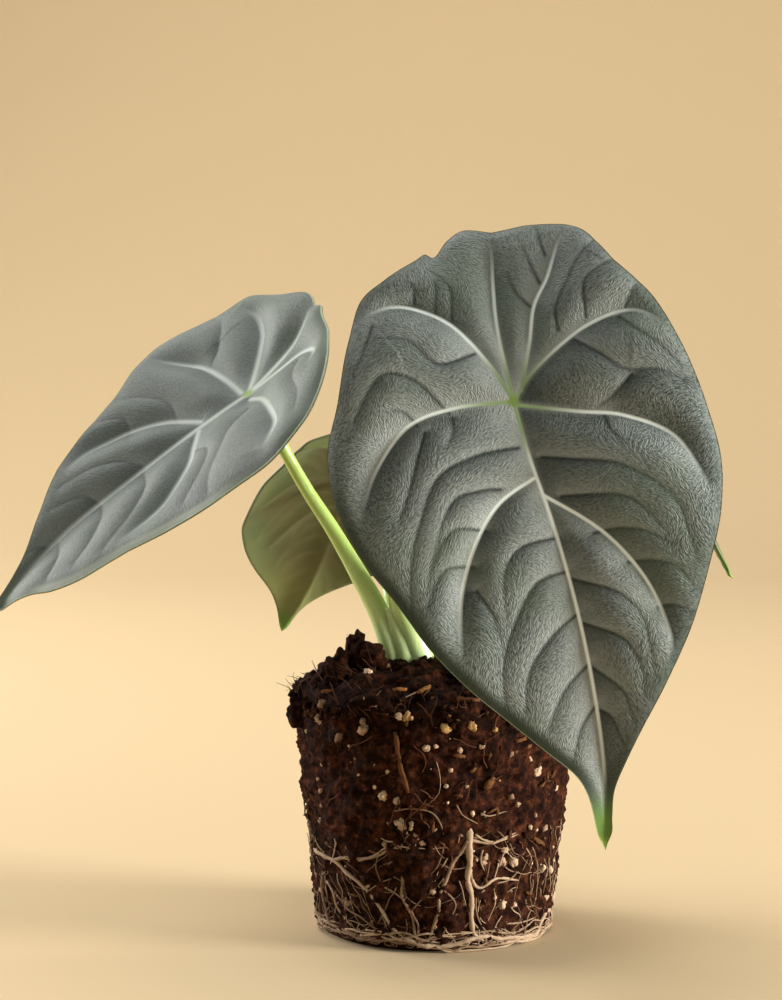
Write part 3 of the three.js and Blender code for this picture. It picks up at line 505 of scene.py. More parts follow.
def scaled_layout(leaf, spacing):
    stretch = np.array([leaf["scale"], leaf["scale"] * leaf["mirror"]])
    lines = {
        key: [smooth_line(np.array(line) * stretch, spacing) for line in leaf["layout"][key]]
        for key in ("margins", "main_veins", "side_veins")
    }
    lines["outline"] = np.vstack([line[:-1] for line in lines["margins"]])
    return lines


def flat_mesh(outline, grid):
    """Triangles of an even spacing that fill an outline."""
    low, high = outline.min(0), outline.max(0)
    points = []
    for row, y in enumerate(np.arange(low[1], high[1], grid * math.sqrt(0.75))):
        xs = np.arange(low[0] + (row % 2) * grid / 2, high[0], grid)
        points.append(np.stack([xs, np.full(len(xs), y)], 1))
    points = np.vstack(points)
    points = points[inside_outline(points, outline)]
    tree = kdtree.KDTree(len(outline))
    for index, (x, y) in enumerate(outline):
        tree.insert((x, y, 0), index)
    tree.balance()
    kept = [(x, y) for x, y in points if tree.find((x, y, 0))[2] > RIM_ROOM * grid]
    places = [Vector(point) for point in [*outline, *kept]]
    count = len(outline)
    edges = [(index, (index + 1) % count) for index in range(count)]
    made = geometry.delaunay_2d_cdt(places, edges, [list(range(count))], 1, 1e-5)
    return np.array([tuple(place) for place in made[0]]), np.array(made[2])


def blade_frame(leaf):
    """The directions of a blade's tip, face and side."""
    tip = Vector(leaf["tip"]).normalized()
    face = Vector(leaf["face"])
    face = (face - face.dot(tip) * tip).normalized()
    return np.array(tip), np.array(face), np.array(face.cross(tip))


def blade_surface(leaf, flat):
    """The curved middle surface of a blade at flat places."""
    tip, face, side = blade_frame(leaf)
    along, across = flat.T
    tip_bend = math.radians(leaf["tip_droop"]) / leaf["tip_reach"]
    back_bend = math.radians(leaf["back_droop"]) / leaf["back_reach"]
    bend = np.where(along > 0, tip_bend, back_bend)
    angle = bend * along
    reach = np.sin(angle) / bend
    drop = -(1 - np.cos(angle)) / bend
    radius = leaf["radius"]
    sideways = radius * np.sin(across / radius)
    rise = leaf["fold"] * (np.hypot(across, leaf["fold_soft"]) - leaf["fold_soft"])
    rise = rise - radius * (1 - np.cos(across / radius))
    twist = math.radians(leaf["twist"]) * along / leaf["tip_reach"]
    sideways, rise = (
        sideways * np.cos(twist) - rise * np.sin(twist),
        sideways * np.sin(twist) + rise * np.cos(twist),
    )
    return (
        np.array(leaf["origin"])
        + (reach + rise * np.sin(angle))[:, None] * tip
        + (drop + rise * np.cos(angle))[:, None] * face
        + sideways[:, None] * side
    )


def surface_step(leaf, flat, step):
    """The way from one side of each flat place to the other, along a flat step."""
    return blade_surface(leaf, flat + step) - blade_surface(leaf, flat - step)


def unit_rows(rows):
    return rows / np.linalg.norm(rows, axis=1)[:, None]


def bilinear(field, rows, columns):
    rows = np.clip(rows, 0, field.shape[0] - 1.001)
    columns = np.clip(columns, 0, field.shape[1] - 1.001)
    r0, c0 = rows.astype(int), columns.astype(int)
    fr, fc = rows - r0, columns - c0
    upper = field[r0, c0] * (1 - fc) + field[r0, c0 + 1] * fc
    lower = field[r0 + 1, c0] * (1 - fc) + field[r0 + 1, c0 + 1] * fc
    return upper * (1 - fr) + lower * fr


def blurred(field, spread):
    """A field smoothed by a bell curve of this spread, in cells."""
    reach = int(3 * spread) + 1
    offsets = range(-reach, reach + 1)
    weights = np.array([math.exp(-0.5 * (offset / spread) ** 2) for offset in offsets])
    weights /= weights.sum()
    for axis in range(2):
        field = sum(weight * np.roll(field, offset, axis) for weight, offset in zip(weights, offsets))
    return field


def wrinkle_field(layout, seed):
    """Fine leathery wrinkles that run square to the main veins and along the side veins.

    Random values are smeared along the direction that the veins near each place give.
    """
    coarse, fine, room = WRINKLE["coarse_cell"], WRINKLE["fine_cell"], WRINKLE["room"]
    random = np.random.default_rng(seed)
    low, high = layout["outline"].min(0) - room, layout["outline"].max(0) + room
    xs, ys = [np.arange(low[axis], high[axis], coarse) for axis in range(2)]
    shape = (len(xs), len(ys))
    nodes = np.stack(np.meshgrid(xs, ys, indexing="ij"), -1).reshape(-1, 2)
    doubled = np.zeros((len(nodes), 2))
    for key, turn in (("main_veins", math.pi), ("side_veins", 0)):
        for line in layout[key]:
            for start, end in zip(line[:-1:3], line[3::3]):
                angle = 2 * math.atan2(end[1] - start[1], end[0] - start[0]) + turn
                weight = 1 / (((nodes - (start + end) / 2) ** 2).sum(1) + WRINKLE["soften"]) ** 1.5
                doubled += weight[:, None] * np.array([math.cos(angle), math.sin(angle)])
    angle = 0.5 * np.arctan2(doubled[:, 1], doubled[:, 0])
    angle += WRINKLE["stray"] * blurred(random.standard_normal(shape), 1.2).ravel()
    double_cos, double_sin = np.cos(2 * angle).reshape(shape), np.sin(2 * angle).reshape(shape)

    def heading(rows, columns):
        half = 0.5 * np.arctan2(bilinear(double_sin, rows, columns), bilinear(double_cos, rows, columns))
        return np.cos(half), np.sin(half)

    shape = tuple(((high - low) / fine).astype(int))
    grain = random.standard_normal(shape)
    grain = blurred(grain, 0.6) - blurred(grain, 1.3)
    starts = [part.ravel().astype(float) for part in np.indices(shape)]
    total = bilinear(grain, *starts)
    for way in (1, -1):
        rows, columns = starts
        for step in range(WRINKLE["steps"]):
            row_step, column_step = heading(rows * fine / coarse, columns * fine / coarse)
            flip = way
            if step:
                flip = np.where(row_step * last_row + column_step * last_column < 0, -1, 1)
            last_row, last_column = row_step * flip, column_step * flip
            rows, columns = rows + last_row, columns + last_column
            total += bilinear(grain, rows, columns)
    smeared = (total / total.std()).reshape(shape)

    def at(flat):
        """The wrinkle height and direction at flat places."""
        away = (flat - low).T
        return bilinear(smeared, *(away / fine)), np.stack(heading(*(away / coarse)), 1)

    return at


def vein_fade(share):
    """1 along a main vein, falling to 0.2 where it meets the margin."""
    return 1 - 0.8 * np.clip((share - 0.6) / 0.4, 0, 1) ** 1.5


def blade_fields(leaf, layout, flat):
    """What each flat place is near to, in the front leaf's own size, how high it stands, and where painted
    highlight and painted shade lie.

    The soft fields join the veins' own shapes without an edge halfway between two veins.
    """
    scale = leaf["scale"]
    along, across = flat.T / scale
    outline = np.vstack([layout["outline"], layout["outline"][:1]])
    margin = measured_lines(flat, [outline])[0][0] / scale
    main_lines = measured_lines(flat, layout["main_veins"])
    distances, shares = [np.array([line[part] for line in main_lines]) for part in (0, 2)]
    nearest = distances.argmin(0)[None]
    main, main_share = [np.take_along_axis(values, nearest, 0)[0] for values in (distances, shares)]
    lit_side = np.array(leaf["lit_side"]) * (1, leaf["mirror"])
    pillow, near, ripple, unlit, unshaded, whole = np.ones((6, len(flat)))
    groove = np.zeros(len(flat))
    # Painted highlight on the flank of each main vein that lies towards lit_side, painted shade on the flank
    # that lies away from it
    for index, (distance, away, share) in enumerate(main_lines):
        flank = away @ lit_side / (distance + 0.05)
        distance = distance / scale
        fade = vein_fade(share) if index else 1.0
        pillow *= 1 - fade * np.exp(-distance / RELIEF["main_width"])
        near *= 1 - fade * np.exp(-(distance / RELIEF["calm_width"]) ** 2)
        groove = np.maximum(groove, fade * np.exp(-distance / VEIN_WALL["width"]))
        unlit *= 1 - fade * np.exp(-distance / 2.6) * np.clip(flank, 0, 1)
        unshaded *= 1 - 0.9 * fade * np.exp(-distance / 3.6) * np.clip(-flank, 0, 1)
    for distance, away, share in measured_lines(flat, layout["side_veins"]):
        tipward = away[:, 0] / (distance + 0.4)
        distance, fade = distance / scale, 1 - 0.6 * share
        ripple *= 1 - fade * np.exp(-distance / RELIEF["side_width"] / (1 - 0.3 * tipward))
        # Painted shade on the tipward side of each side vein and painted highlight on its other side
        unshaded *= 1 - 0.95 * fade * np.exp(-distance / 2.8) * np.clip(2 * tipward, 0, 1)
        unlit *= 1 - 0.6 * fade * np.exp(-distance / 2.4) * np.clip(-2 * tipward, 0, 1)
        # Painted shade along the crease of each side vein
        whole *= 1 - fade * np.exp(-(distance / 0.4) ** 2)
    turn = np.arctan2(across * leaf["mirror"], along) * leaf["mirror"]
    wave = MARGIN["wave"] * np.exp(-margin / MARGIN["wave_width"]) * np.sin(MARGIN["wave_count"] * turn)
    curl = MARGIN["curl"] * np.exp(-margin / MARGIN["curl_width"])
    curl += MARGIN["droop"] * pillow * np.exp(-margin / MARGIN["droop_width"])
    relief = RELIEF["main_height"] * pillow - VEIN_WALL["height"] * groove
    relief = relief + near * (RELIEF["side_height"] * ripple + wave) - curl
    fields = {
        "main": main / scale, "main_share": main_share, "margin": margin, "along": along, "across": across,
        "lit": 1 - unlit, "shade": 1 - unshaded, "crease": 1 - whole, "spot": np.hypot(*flat.T) / scale,
        "to_tip": np.hypot(*(flat - layout["margins"][0][-1]).T) / scale,
    }
    return fields, scale * relief


def make_blade(leaf, seed, material, slot):
    layout = scaled_layout(leaf, 1.0)
    outline = scaled_layout(leaf, leaf["upper_grid"])["outline"]
    wrinkles = wrinkle_field(layout, seed)
    places, faces, columns, start = [], [], {}, 0
    for under, grid in enumerate((leaf["upper_grid"], leaf["under_grid"])):
        flat, triangles = flat_mesh(outline, grid)
        fields, height = blade_fields(leaf, layout, flat)
        main, margin = fields["main"], fields["margin"]
        wrinkle, heading = wrinkles(flat)
        wrinkle *= np.clip(margin / 3 - 0.3, 0, 1) * np.clip(main / 0.8 - 0.5, 0, 1)
        if under:
            thickness = BLADE_THICKNESS - (BLADE_THICKNESS - EDGE_THICKNESS) * np.exp(-margin / 1.5)
            rib = leaf["rib"] * np.exp(-(main / 0.9) ** 2) * np.minimum(1, margin / 2)
            height = height - thickness - leaf["scale"] * rib
            triangles = triangles[:, ::-1]
        else:
            cord = VEIN_CORD * np.exp(-(main / 0.45) ** 2) * (1 - 0.6 * fields["main_share"])
            height = height + cord + leaf["wrinkle"] * wrinkle
        forward, sideways = [surface_step(leaf, flat, np.array(step)) for step in ((0.5, 0), (0, 0.5))]
        normal = unit_rows(np.cross(forward, sideways))
        places.append(blade_surface(leaf, flat) + height[:, None] * normal)
        faces += (triangles + start).tolist()
        start += len(flat)
        fields["wrinkle"] = wrinkle
        fields["under"] = np.full(len(flat), float(under))
        fields["grain"] = unit_rows(surface_step(leaf, flat, 0.3 * heading))
        for key, values in fields.items():
            columns.setdefault(key, []).append(values)
    upper_count, count = len(places[0]), len(outline)
    for index in range(count):
        following = (index + 1) % count
        faces.append([following, index, upper_count + index, upper_count + following])
    attributes = {key: np.concatenate(values) for key, values in columns.items()}
    piece = make_object("blade_" + leaf["name"] + "_fine", np.vstack(places), faces, attributes)
    place_piece(piece, material, slot, "blade_" + leaf["name"])


# Materials

class Paint:
    """A node material built step by step."""

    def __init__(self, name):
        self.material = bpy.data.materials.new(name)
        self.material.use_nodes = True
        self.tree = self.material.node_tree
        self.shader = self.tree.nodes["Principled BSDF"]
        place = self.node("TexCoord", {}).outputs["Object"]
        self.place = self.node("VectorMath", {0: place, "Scale": 1 / MM}, operation="SCALE").outputs[0]

    def link(self, source, target):
        if isinstance(source, (int, float)):
            target.default_value = source
        elif isinstance(source, tuple):
            target.default_value = (*source, 1.0)[:len(target.default_value)]
        else:
            self.tree.links.new(source, target)

    def node(self, kind, inputs, **settings):
        node = self.tree.nodes.new("ShaderNode" + kind)
        for key, value in settings.items():
            setattr(node, key, value)
        for socket, value in inputs.items():
            self.link(value, node.inputs[socket])
        return node

    def attribute(self, name, output="Fac"):
        return self.node("Attribute", {}, attribute_name=name).outputs[output]

    def height(self):
        """Millimetres above the floor."""
        return self.node("SeparateXYZ", {0: self.place}).outputs["Z"]

    def math(self, operation, *values, clamp=False):
        inputs = dict(enumerate(values))
        return self.node("Math", inputs, operation=operation, use_clamp=clamp).outputs[0]

    def times(self, first, *others):
        for other in others:
            first = self.math("MULTIPLY", first, other)
        return first

    def fade(self, value, start, end):
        """1 where the value is at start, falling to 0 at end, and the other way round."""
        to_low, to_high = (1.0, 0.0) if start < end else (0.0, 1.0)
        inputs = {
            "Value": value, "From Min": min(start, end), "From Max": max(start, end),
            "To Min": to_low, "To Max": to_high,
        }
        return self.node("MapRange", inputs, interpolation_type="SMOOTHSTEP").outputs[0]

    def noise(self, size, detail=3.0, rough=0.55, place=None):
        """Noise from 0 to 1 with features of about this many millimetres."""
        place = place or self.place
        inputs = {"Vector": place, "Scale": 1 / size, "Detail": detail, "Roughness": rough}
        return self.node("TexNoise", inputs).outputs["Fac"]

    def smeared_noise(self, direction, size, length, count):
        """Noise drawn out along a direction that each place has as an attribute, from 0 to 1."""
        way = self.attribute(direction, "Vector")
        total = 0.0
        for index in range(count):
            reach = length * (index / (count - 1) - 0.5)
            inputs = {0: way, 1: (reach, reach, reach), 2: self.place}
            step = self.node("VectorMath", inputs, operation="MULTIPLY_ADD").outputs[0]
            total = self.math("ADD", total, self.noise(size, 0.5, 0.5, step))
        spread = self.times(self.math("SUBTRACT", total, 0.5 * count), 1.5 / math.sqrt(count))
        return self.math("ADD", spread, 0.5, clamp=True)

    def mix(self, amount, first, second, blend="MIX"):
        inputs = {0: amount, 6: first, 7: second}
        return self.node("Mix", inputs, data_type="RGBA", blend_type=blend).outputs[2]

    def layered(self, colour, layers):
        """A colour with others laid over it in turn, each as (how much, colour)."""
        for amount, over in layers:
            colour = self.mix(amount, colour, over)
        return colour

    def ramp(self, value, stops):
        node = self.node("ValToRGB", {0: value})
        elements = node.color_ramp.elements
        while len(elements) < len(stops):
            elements.new(0.5)
        for element, (place, colour) in zip(elements, stops):
            element.position = place
            element.color = (*colour, 1.0)
        return node.outputs[0]

    def bump(self, height, distance, strength, **under):
        inputs = {"Height": height, "Distance": distance * MM, "Strength": strength, **under}
        return self.node("Bump", inputs).outputs[0]

    def finish(self, colour, roughness, **others):
        inputs = {"Base_Color": colour, "Roughness": roughness, **others}
        for name, value in inputs.items():
            self.link(value, self.shader.inputs[name.replace("_", " ")])
        return self.material


def leaf_material(name):
    """Silvery leather above with pale sunken veins, painted sheen, painted highlights and painted shade,
    olive green below and painted paler towards the tip.
    """
    paint = Paint(name)
    look = LEAF_LOOKS[name]
    fade, times, field = paint.fade, paint.times, paint.attribute
    keys = ("main", "main_share", "margin", "along", "across", "spot", "to_tip", "under")
    main, share, margin, along, across, spot, to_tip, is_under = [field(key) for key in keys]
    hair = paint.smeared_noise("grain", 0.28, 0.5, 4)
    crest_sheen = paint.math("ADD", times(fade(field("wrinkle"), 1.4, -0.8), 0.35), hair)
    cord = times(fade(main, 0.1, look["cord_width"]), fade(share, 0.6, 1.0), look["cord"])
    green_share = times(fade(spot, 4, 18), look["spot_green"])
    cord_colour = paint.mix(green_share, (0.86, 0.92, 0.86), (0.27, 0.38, 0.17))
    forward = paint.math("MULTIPLY_ADD", fade(along, 25, 0), 0.7, 0.3)
    left = paint.math("MULTIPLY_ADD", fade(across, -8, 14), 0.6, 0.4)
    below = times(fade(across, 4, -2), look["pale_edge"])
    silver = paint.ramp(paint.noise(14), [(0.3, look["dark"]), (0.7, look["light"])])
    upper = paint.layered(silver, [
        (times(fade(along, -4, 6), look["lobe"]), look["lobe_colour"]),
        (times(fade(to_tip, 14, 62), look["tip_pale"]), (0.24, 0.26, 0.23)),
        # painted sheen on the wrinkle crests and painted shade in their furrows
        (times(fade(crest_sheen, 1.0, 0.4), look["crest_sheen"]), (0.26, 0.275, 0.24)),
        (times(fade(hair, 0.2, 0.5), look["furrow_shade"]), (0.03, 0.04, 0.034)),
        # painted shade and painted highlight by the veins
        (times(field("shade"), look["shade"]), (0.028, 0.037, 0.032)),
        (times(field("lit"), look["lit"]), (0.43, 0.46, 0.42)),
        # painted shade in the creases
        (times(field("crease"), look["crease"]), (0.009, 0.013, 0.01)),
        (times(fade(paint.noise(22, 2), 0.66, 0.5), look["greener"]), (0.075, 0.11, 0.055)),
        (times(fade(main, 0.3, 1.4), fade(spot, 8, 30), 0.3), (0.40, 0.43, 0.36)),
        (cord, cord_colour),
        (fade(spot, 0.5, 2.0), (0.22, 0.33, 0.08)),
        (times(fade(margin, 1.2, 3.8), look["band"], forward, left), (0.014, 0.028, 0.014)),
        (times(fade(margin, 1, 7), fade(along, 0, 14), below), (0.03, 0.05, 0.02)),
        (times(fade(margin, 0.9, 2.4), fade(along, 26, 8), below), (0.40, 0.44, 0.37)),
        (fade(margin, 0.05, 0.35), look["rim"]),
    ])
    olive = paint.ramp(paint.noise(9), [(0.3, (0.085, 0.12, 0.042)), (0.7, (0.125, 0.145, 0.055))])
    lower = paint.layered(olive, [
        (times(fade(margin, 18, 5), 0.6), (0.115, 0.1, 0.042)),
        (times(fade(main, 0.4, 1.6), 0.12), (0.2, 0.25, 0.09)),
        # painted light: the under side paler towards the tip
        (times(fade(to_tip, 22, 52), 0.5), (0.22, 0.225, 0.07)),
    ])
    colour = paint.layered(upper, [
        (is_under, lower),
        (times(fade(to_tip, 6, 16), look["green_tip"]), (0.11, 0.2, 0.035)),
        (times(fade(to_tip, 1.0, 4.0), 0.4 * look["green_tip"]), (0.35, 0.45, 0.06)),
    ])
    calm = times(fade(margin, 2.6, 0.8), fade(main, 0.9, 0.3), look["bump"])
    height = times(hair, calm, paint.math("SUBTRACT", 1.0, is_under))
    return paint.finish(
        colour, 0.58, Normal=paint.bump(height, 0.5, 1.0), Specular_IOR_Level=0.3, Sheen_Weight=0.1,
        Sheen_Roughness=0.4, Sheen_Tint=(0.85, 0.9, 0.85),
    )


def stalk_material():
    """Yellow-green and juicy, paler towards the foot, with faint long streaks and few dark specks. The
    paleness at the foot is partly the stalk's own colour and partly painted light that lifts the shade of the
    front leaf.
    """
    paint = Paint("stalk_skin")
    drawn_out = paint.node("Mapping", {"Vector": paint.place, "Scale": (1, 1, 0.12)}).outputs[0]
    streak = paint.noise(0.7, 3, 0.6, drawn_out)
    green = paint.layered((0.35, 0.47, 0.115), [
        # paler towards the foot: partly the stalk's own colour, partly painted light over the front leaf's
        # shade
        (paint.fade(paint.height(), 64, 92), (0.57, 0.70, 0.31)),
        (paint.times(paint.fade(streak, 0.7, 0.45), 0.3), (0.5, 0.56, 0.3)),
        (paint.times(paint.fade(paint.noise(0.9, 2, 0.5), 0.72, 0.66), 0.35), (0.2, 0.2, 0.07)),
    ])
    return paint.finish(
        green, 0.33, Normal=paint.bump(streak, 0.08, 0.5), Specular_IOR_Level=0.5, Subsurface_Weight=0.5,
        Subsurface_Scale=0.003, Subsurface_Radius=(1.0, 1.0, 0.4),
    )


def soil_material():
    """Wet peat: near black, with reddish fibres and brown bark crumbs."""
    paint = Paint("peat_mix")
    colour = paint.ramp(paint.noise(2.2, 5, 0.65), [
        (0.32, (0.004, 0.0014, 0.0008)), (0.48, (0.015, 0.0045, 0.002)),
        (0.60, (0.045, 0.013, 0.0045)), (0.76, (0.13, 0.045, 0.015)),
    ])
    crumb = paint.node("TexVoronoi", {"Vector": paint.place, "Scale": 1 / 1.6})
    tone = paint.times(paint.fade(crumb.outputs["Color"], 1.0, 0.72), 0.45)
    colour = paint.mix(tone, colour, (0.075, 0.026, 0.01))
    lift = paint.mix(paint.fade(paint.height(), 42, 58), (0.8, 0.72, 0.55), (1.5, 1.5, 1.6))
    colour = paint.mix(1.0, colour, lift, "MULTIPLY")
    rough = paint.bump(paint.noise(0.8, 6, 0.75), 0.9, 1.0)
    normal = paint.bump(crumb.outputs["Distance"], 0.5, 0.5, Normal=rough)
    wet = paint.math("MULTIPLY_ADD", paint.noise(3), 0.4, 0.6)
    return paint.finish(colour, wet, Normal=normal, Specular_IOR_Level=0.05)


def shaded_material(name, dark, light, roughness, size, bump, gloss=0.1):
    """A colour between dark and light for each small piece, with a fine grain."""
    paint = Paint(name)
    grain = paint.noise(size, 4, 0.6)
    colour = paint.mix(paint.attribute("shade"), dark, light)
    colour = paint.mix(paint.times(paint.fade(grain, 0.7, 0.4), 0.45), colour, dark)
    return paint.finish(colour, roughness, Normal=paint.bump(grain, bump, 0.8), Specular_IOR_Level=gloss)


# Tubes: stalks, roots and fibres

def tube_mesh(line, radii, sides):
    """A closed round tube along places, with a radius at each."""
    line = np.asarray(line, float)
    tangents = unit_rows(np.gradient(line, axis=0))
    normal = np.cross(tangents[0], (0, 0, 1) if abs(tangents[0][2]) < 0.9 else (1, 0, 0))
    turns = np.arange(sides)[:, None] / sides * 2 * math.pi
    rings = []
    for centre, tangent, radius in zip(line, tangents, radii):
        normal = normal - (normal @ tangent) * tangent
        normal = normal / np.linalg.norm(normal)
        rings.append(centre + radius * (np.cos(turns) * normal + np.sin(turns) * np.cross(tangent, normal)))
    last = (len(line) - 1) * sides
    faces = []
    for side in range(sides):
        following = (side + 1) % sides
        for low in range(0, last, sides):
            faces.append([low + side, low + following, low + sides + following, low + sides + side])
    faces += [list(range(sides))[::-1], list(range(last, last + sides))]
    return np.vstack(rings), faces


def place_tube(name, points, radii, count, sides, material, *nodes):
    """A tube of stalk skin whose radius changes evenly from one of the radii to the next."""
    shares = np.linspace(0, 1, count)
    radii = np.interp(shares, np.linspace(0, 1, len(radii)), radii)
    batch = Batch()
    batch.add(*tube_mesh(space_curve(points, count), radii, sides), 0.5)
    batch.place(name, material, "stalk", *nodes)


def make_stalk(leaf, material):
    """A stalk that flares into a sheath at its foot and into the blade at its head."""
    face = blade_frame(leaf)[1]
    (x, y, z), *onward = leaf["stalk"]
    end = np.array(leaf["origin"]) - face * (BLADE_THICKNESS + STALK_END_GAP)
    points = [(x, y, z), (x, y, z + STALK_FOOT), *onward, end - face * STALK_LEAD, end]
    node = "petiole_" + leaf["name"]
    place_tube(node + "_fine", points, leaf["stalk_radii"], 90, 28, material, node)


# Root ball

def round_place(angle, radius, height):
    """A place round the ball's axis, its angle counted from the front towards +X."""
    return np.array([radius * math.sin(angle), -radius * math.cos(angle), height])


def ball_radius(height):
    return BALL_BASE_RADIUS + (BALL_RIM_RADIUS - BALL_BASE_RADIUS) * (height / BALL_RIM_HEIGHT)


def waves(table, angle, along):
    return sum(size * math.sin(count * angle + twist * along + start) for size, count, twist, start in table)


def mound_height(radius, angle):
    share = radius / BALL_RIM_RADIUS
    dome = BALL_TOP_HEIGHT + (BALL_RIM_HEIGHT - BALL_TOP_HEIGHT) * share ** 2
    return dome + waves(MOUND_WAVES, angle, share) * share


def on_ball(degrees, height, lift):
    return round_place(math.radians(degrees), ball_radius(height) + lift, height)


def on_surface(degrees, height, lift):
    """A place on the wall, or on the mound for a height above the rim."""
    if height < BALL_RIM_HEIGHT:
        return on_ball(degrees, height, lift)
    angle = math.radians(degrees)
    share = min(1, (height - BALL_RIM_HEIGHT) / (BALL_TOP_HEIGHT - BALL_RIM_HEIGHT))
    radius = BALL_RIM_RADIUS * math.sqrt(1 - share)
    return round_place(angle, radius, mound_height(radius, angle) + lift)


def on_photo_ball(column, row):
    """The place on the ball's front that the photograph shows at a pixel."""
    camera, ahead, right, up = [np.array(part) for part in camera_pose()]
    ray = ahead + (column - FRAME_CENTRE_PX[0]) / FOCAL_PX * right
    ray = ray + (FRAME_CENTRE_PX[1] - row) / FOCAL_PX * up
    for reach in np.linspace(CAMERA_DISTANCE - 60, CAMERA_DISTANCE + 10, 300):
        place = camera + ray * reach
        radius = math.hypot(place[0], place[1])
        top = mound_height(radius, math.atan2(place[0], -place[1]))
        if radius < min(ball_radius(place[2]), BALL_RIM_RADIUS) + 0.3 and place[2] < top + 0.6:
            break
    return place


def ball_profile(angle):
    """Places up the wall and in over the mound, as (radius, height), from the base's middle."""
    places = [(radius, 0.0) for radius in np.linspace(0.5, BALL_BASE_RADIUS - 1.6, 22)]
    for height in np.linspace(0.5, BALL_RIM_HEIGHT - 1, 92):
        rough = waves(WALL_WAVES, angle, height) * min(1, height / 25)
        chamfer = 1.2 * math.exp(-height / 1.2)
        places.append((ball_radius(height) + rough - chamfer, height))
    for radius in np.linspace(BALL_RIM_RADIUS - 1, 0.5, 44):
        rough = waves(WALL_WAVES, angle, radius) * radius / BALL_RIM_RADIUS
        places.append((radius + rough, mound_height(radius, angle)))
    return places


def crumbled(place, outward, depth):
    """A place on the ball pushed in and out by crumbs of several sizes."""
    spot = Vector(place)
    large = noise.noise(spot * 0.16, noise_basis="PERLIN_ORIGINAL")
    middle = noise.noise(spot * 0.42 + Vector((9, 3, 5)), noise_basis="PERLIN_ORIGINAL")
    crumb = noise.voronoi(spot * 0.55, distance_metric="DISTANCE")[0]
    bumps = 0.6 * large + 0.75 * middle + 0.9 * (0.55 - crumb[0]) + 0.5 * (crumb[1] - crumb[0] - 0.3)
    return np.array(place) + np.array(outward) * depth * bumps


def make_ball(material):
    places, faces = [], []
    for side in range(BALL_SIDES):
        angle = side / BALL_SIDES * 2 * math.pi
        profile = ball_profile(angle)
        for index, (radius, height) in enumerate(profile):
            before, after = profile[max(0, index - 1)], profile[min(len(profile) - 1, index + 1)]
            out, up = after[1] - before[1], before[0] - after[0]
            size = math.hypot(out, up) or 1.0
            outward = round_place(angle, out / size, up / size)
            places.append(crumbled(round_place(angle, radius, height), outward, min(1, height / 3)))
    count = len(places) // BALL_SIDES
    for side in range(BALL_SIDES):
        low, high = side * count, ((side + 1) % BALL_SIDES) * count
        for index in range(count - 1):
            faces.append([low + index, high + index, high + index + 1, low + index + 1])
    faces.append([side * count for side in range(BALL_SIDES)][::-1])
    faces.append([side * count + count - 1 for side in range(BALL_SIDES)])
    place_piece(make_object("root_ball_fine", places, faces), material, "soil", "root_ball")


def sphere_shape(detail):
    shape = bmesh.new()
    bmesh.ops.create_icosphere(shape, subdivisions=detail, radius=1)
    places = [vertex.co.copy() for vertex in shape.verts]
    faces = [[vertex.index for vertex in face.verts] for face in shape.faces]
    shape.free()
    return places, faces


def add_grain(batch, centre, size, random, shade, roughness, detail):
    """An irregular lump: a ball with its surface pushed in and out, turned at random."""
    base, faces = sphere_shape(detail)
    turn = Euler([random.uniform(0, 6.3) for _ in range(3)]).to_matrix()
    stretch = Vector([random.uniform(0.75, 1.2) for _ in range(3)])
    seed = Vector([random.uniform(0, 50) for _ in range(3)])
    places = []
    for spot in base:
        bump = 1 + roughness * noise.noise(spot * 1.3 + seed) + 0.5 * roughness * noise.noise(spot * 3 + seed)
        places.append(Vector(centre) + turn @ (spot * stretch * bump * size))
    batch.add(places, faces, shade)


def make_clods(material):
    """Crumbs and clods of mix that stand out of the mound, of several sizes."""
    random, batch = Random(41), Batch()
    base, faces = sphere_shape(4)
    for centre, size, lean in CLODS:
        places = []
        for spot in base:
            height = spot.z * size[2]
            step = (spot.x * size[0] + lean * height, spot.y * size[1], height)
            places.append(crumbled(np.array(centre) + step, spot, 1.3))
        batch.add(places, faces, 0.5)
    for index in range(COUNTS["clods"]):
        on_rim = index < COUNTS["rim_clods"]
        degrees = random.uniform(0, 360)
        height = random.uniform(52, 64) if on_rim else random.uniform(4, 56)
        size = (0.35 + 1.1 * random.random() ** 2) * (1 if on_rim else 0.6)
        add_grain(batch, on_surface(degrees, height, 0.1 * size), size, random, 0.5, 1.0, 2)
    batch.place("soil_clods", material, "soil")


def make_perlite(material):
    random, batch = Random(31), Batch()
    for column, row, size, paleness in PERLITE_PX:
        centre = on_photo_ball(column, row) + (0, 0.75 * size, 0)
        for _ in range(3):
            shift = [random.uniform(-0.45, 0.45) * size for _ in range(3)]
            add_grain(batch, centre + shift, 0.75 * size, random, paleness, 0.45, 3)
    for _ in range(COUNTS["perlite"]):
        size = 0.2 + 0.7 * random.random() ** 3
        centre = on_surface(random.uniform(0, 360), random.uniform(4, 58), -0.25 * size)
        add_grain(batch, centre, size, random, random.random(), 0.5, 2)
    batch.place("perlite", material, "perlite")


def make_prills(material):
    random, batch = Random(5), Batch()
    for column, row, size, paleness in PRILLS_PX:
        centre = on_photo_ball(column, row) + (0, 0.35 * size, 0)
        add_grain(batch, centre, 0.9 * size, random, paleness, 0.3, 3)
    for _ in range(COUNTS["prills"]):
        centre = on_surface(random.uniform(60, 300), random.uniform(40, 58), 0.0)
        add_grain(batch, centre, 0.95, random, random.random(), 0.3, 2)
    batch.place("prills", material, "prill")


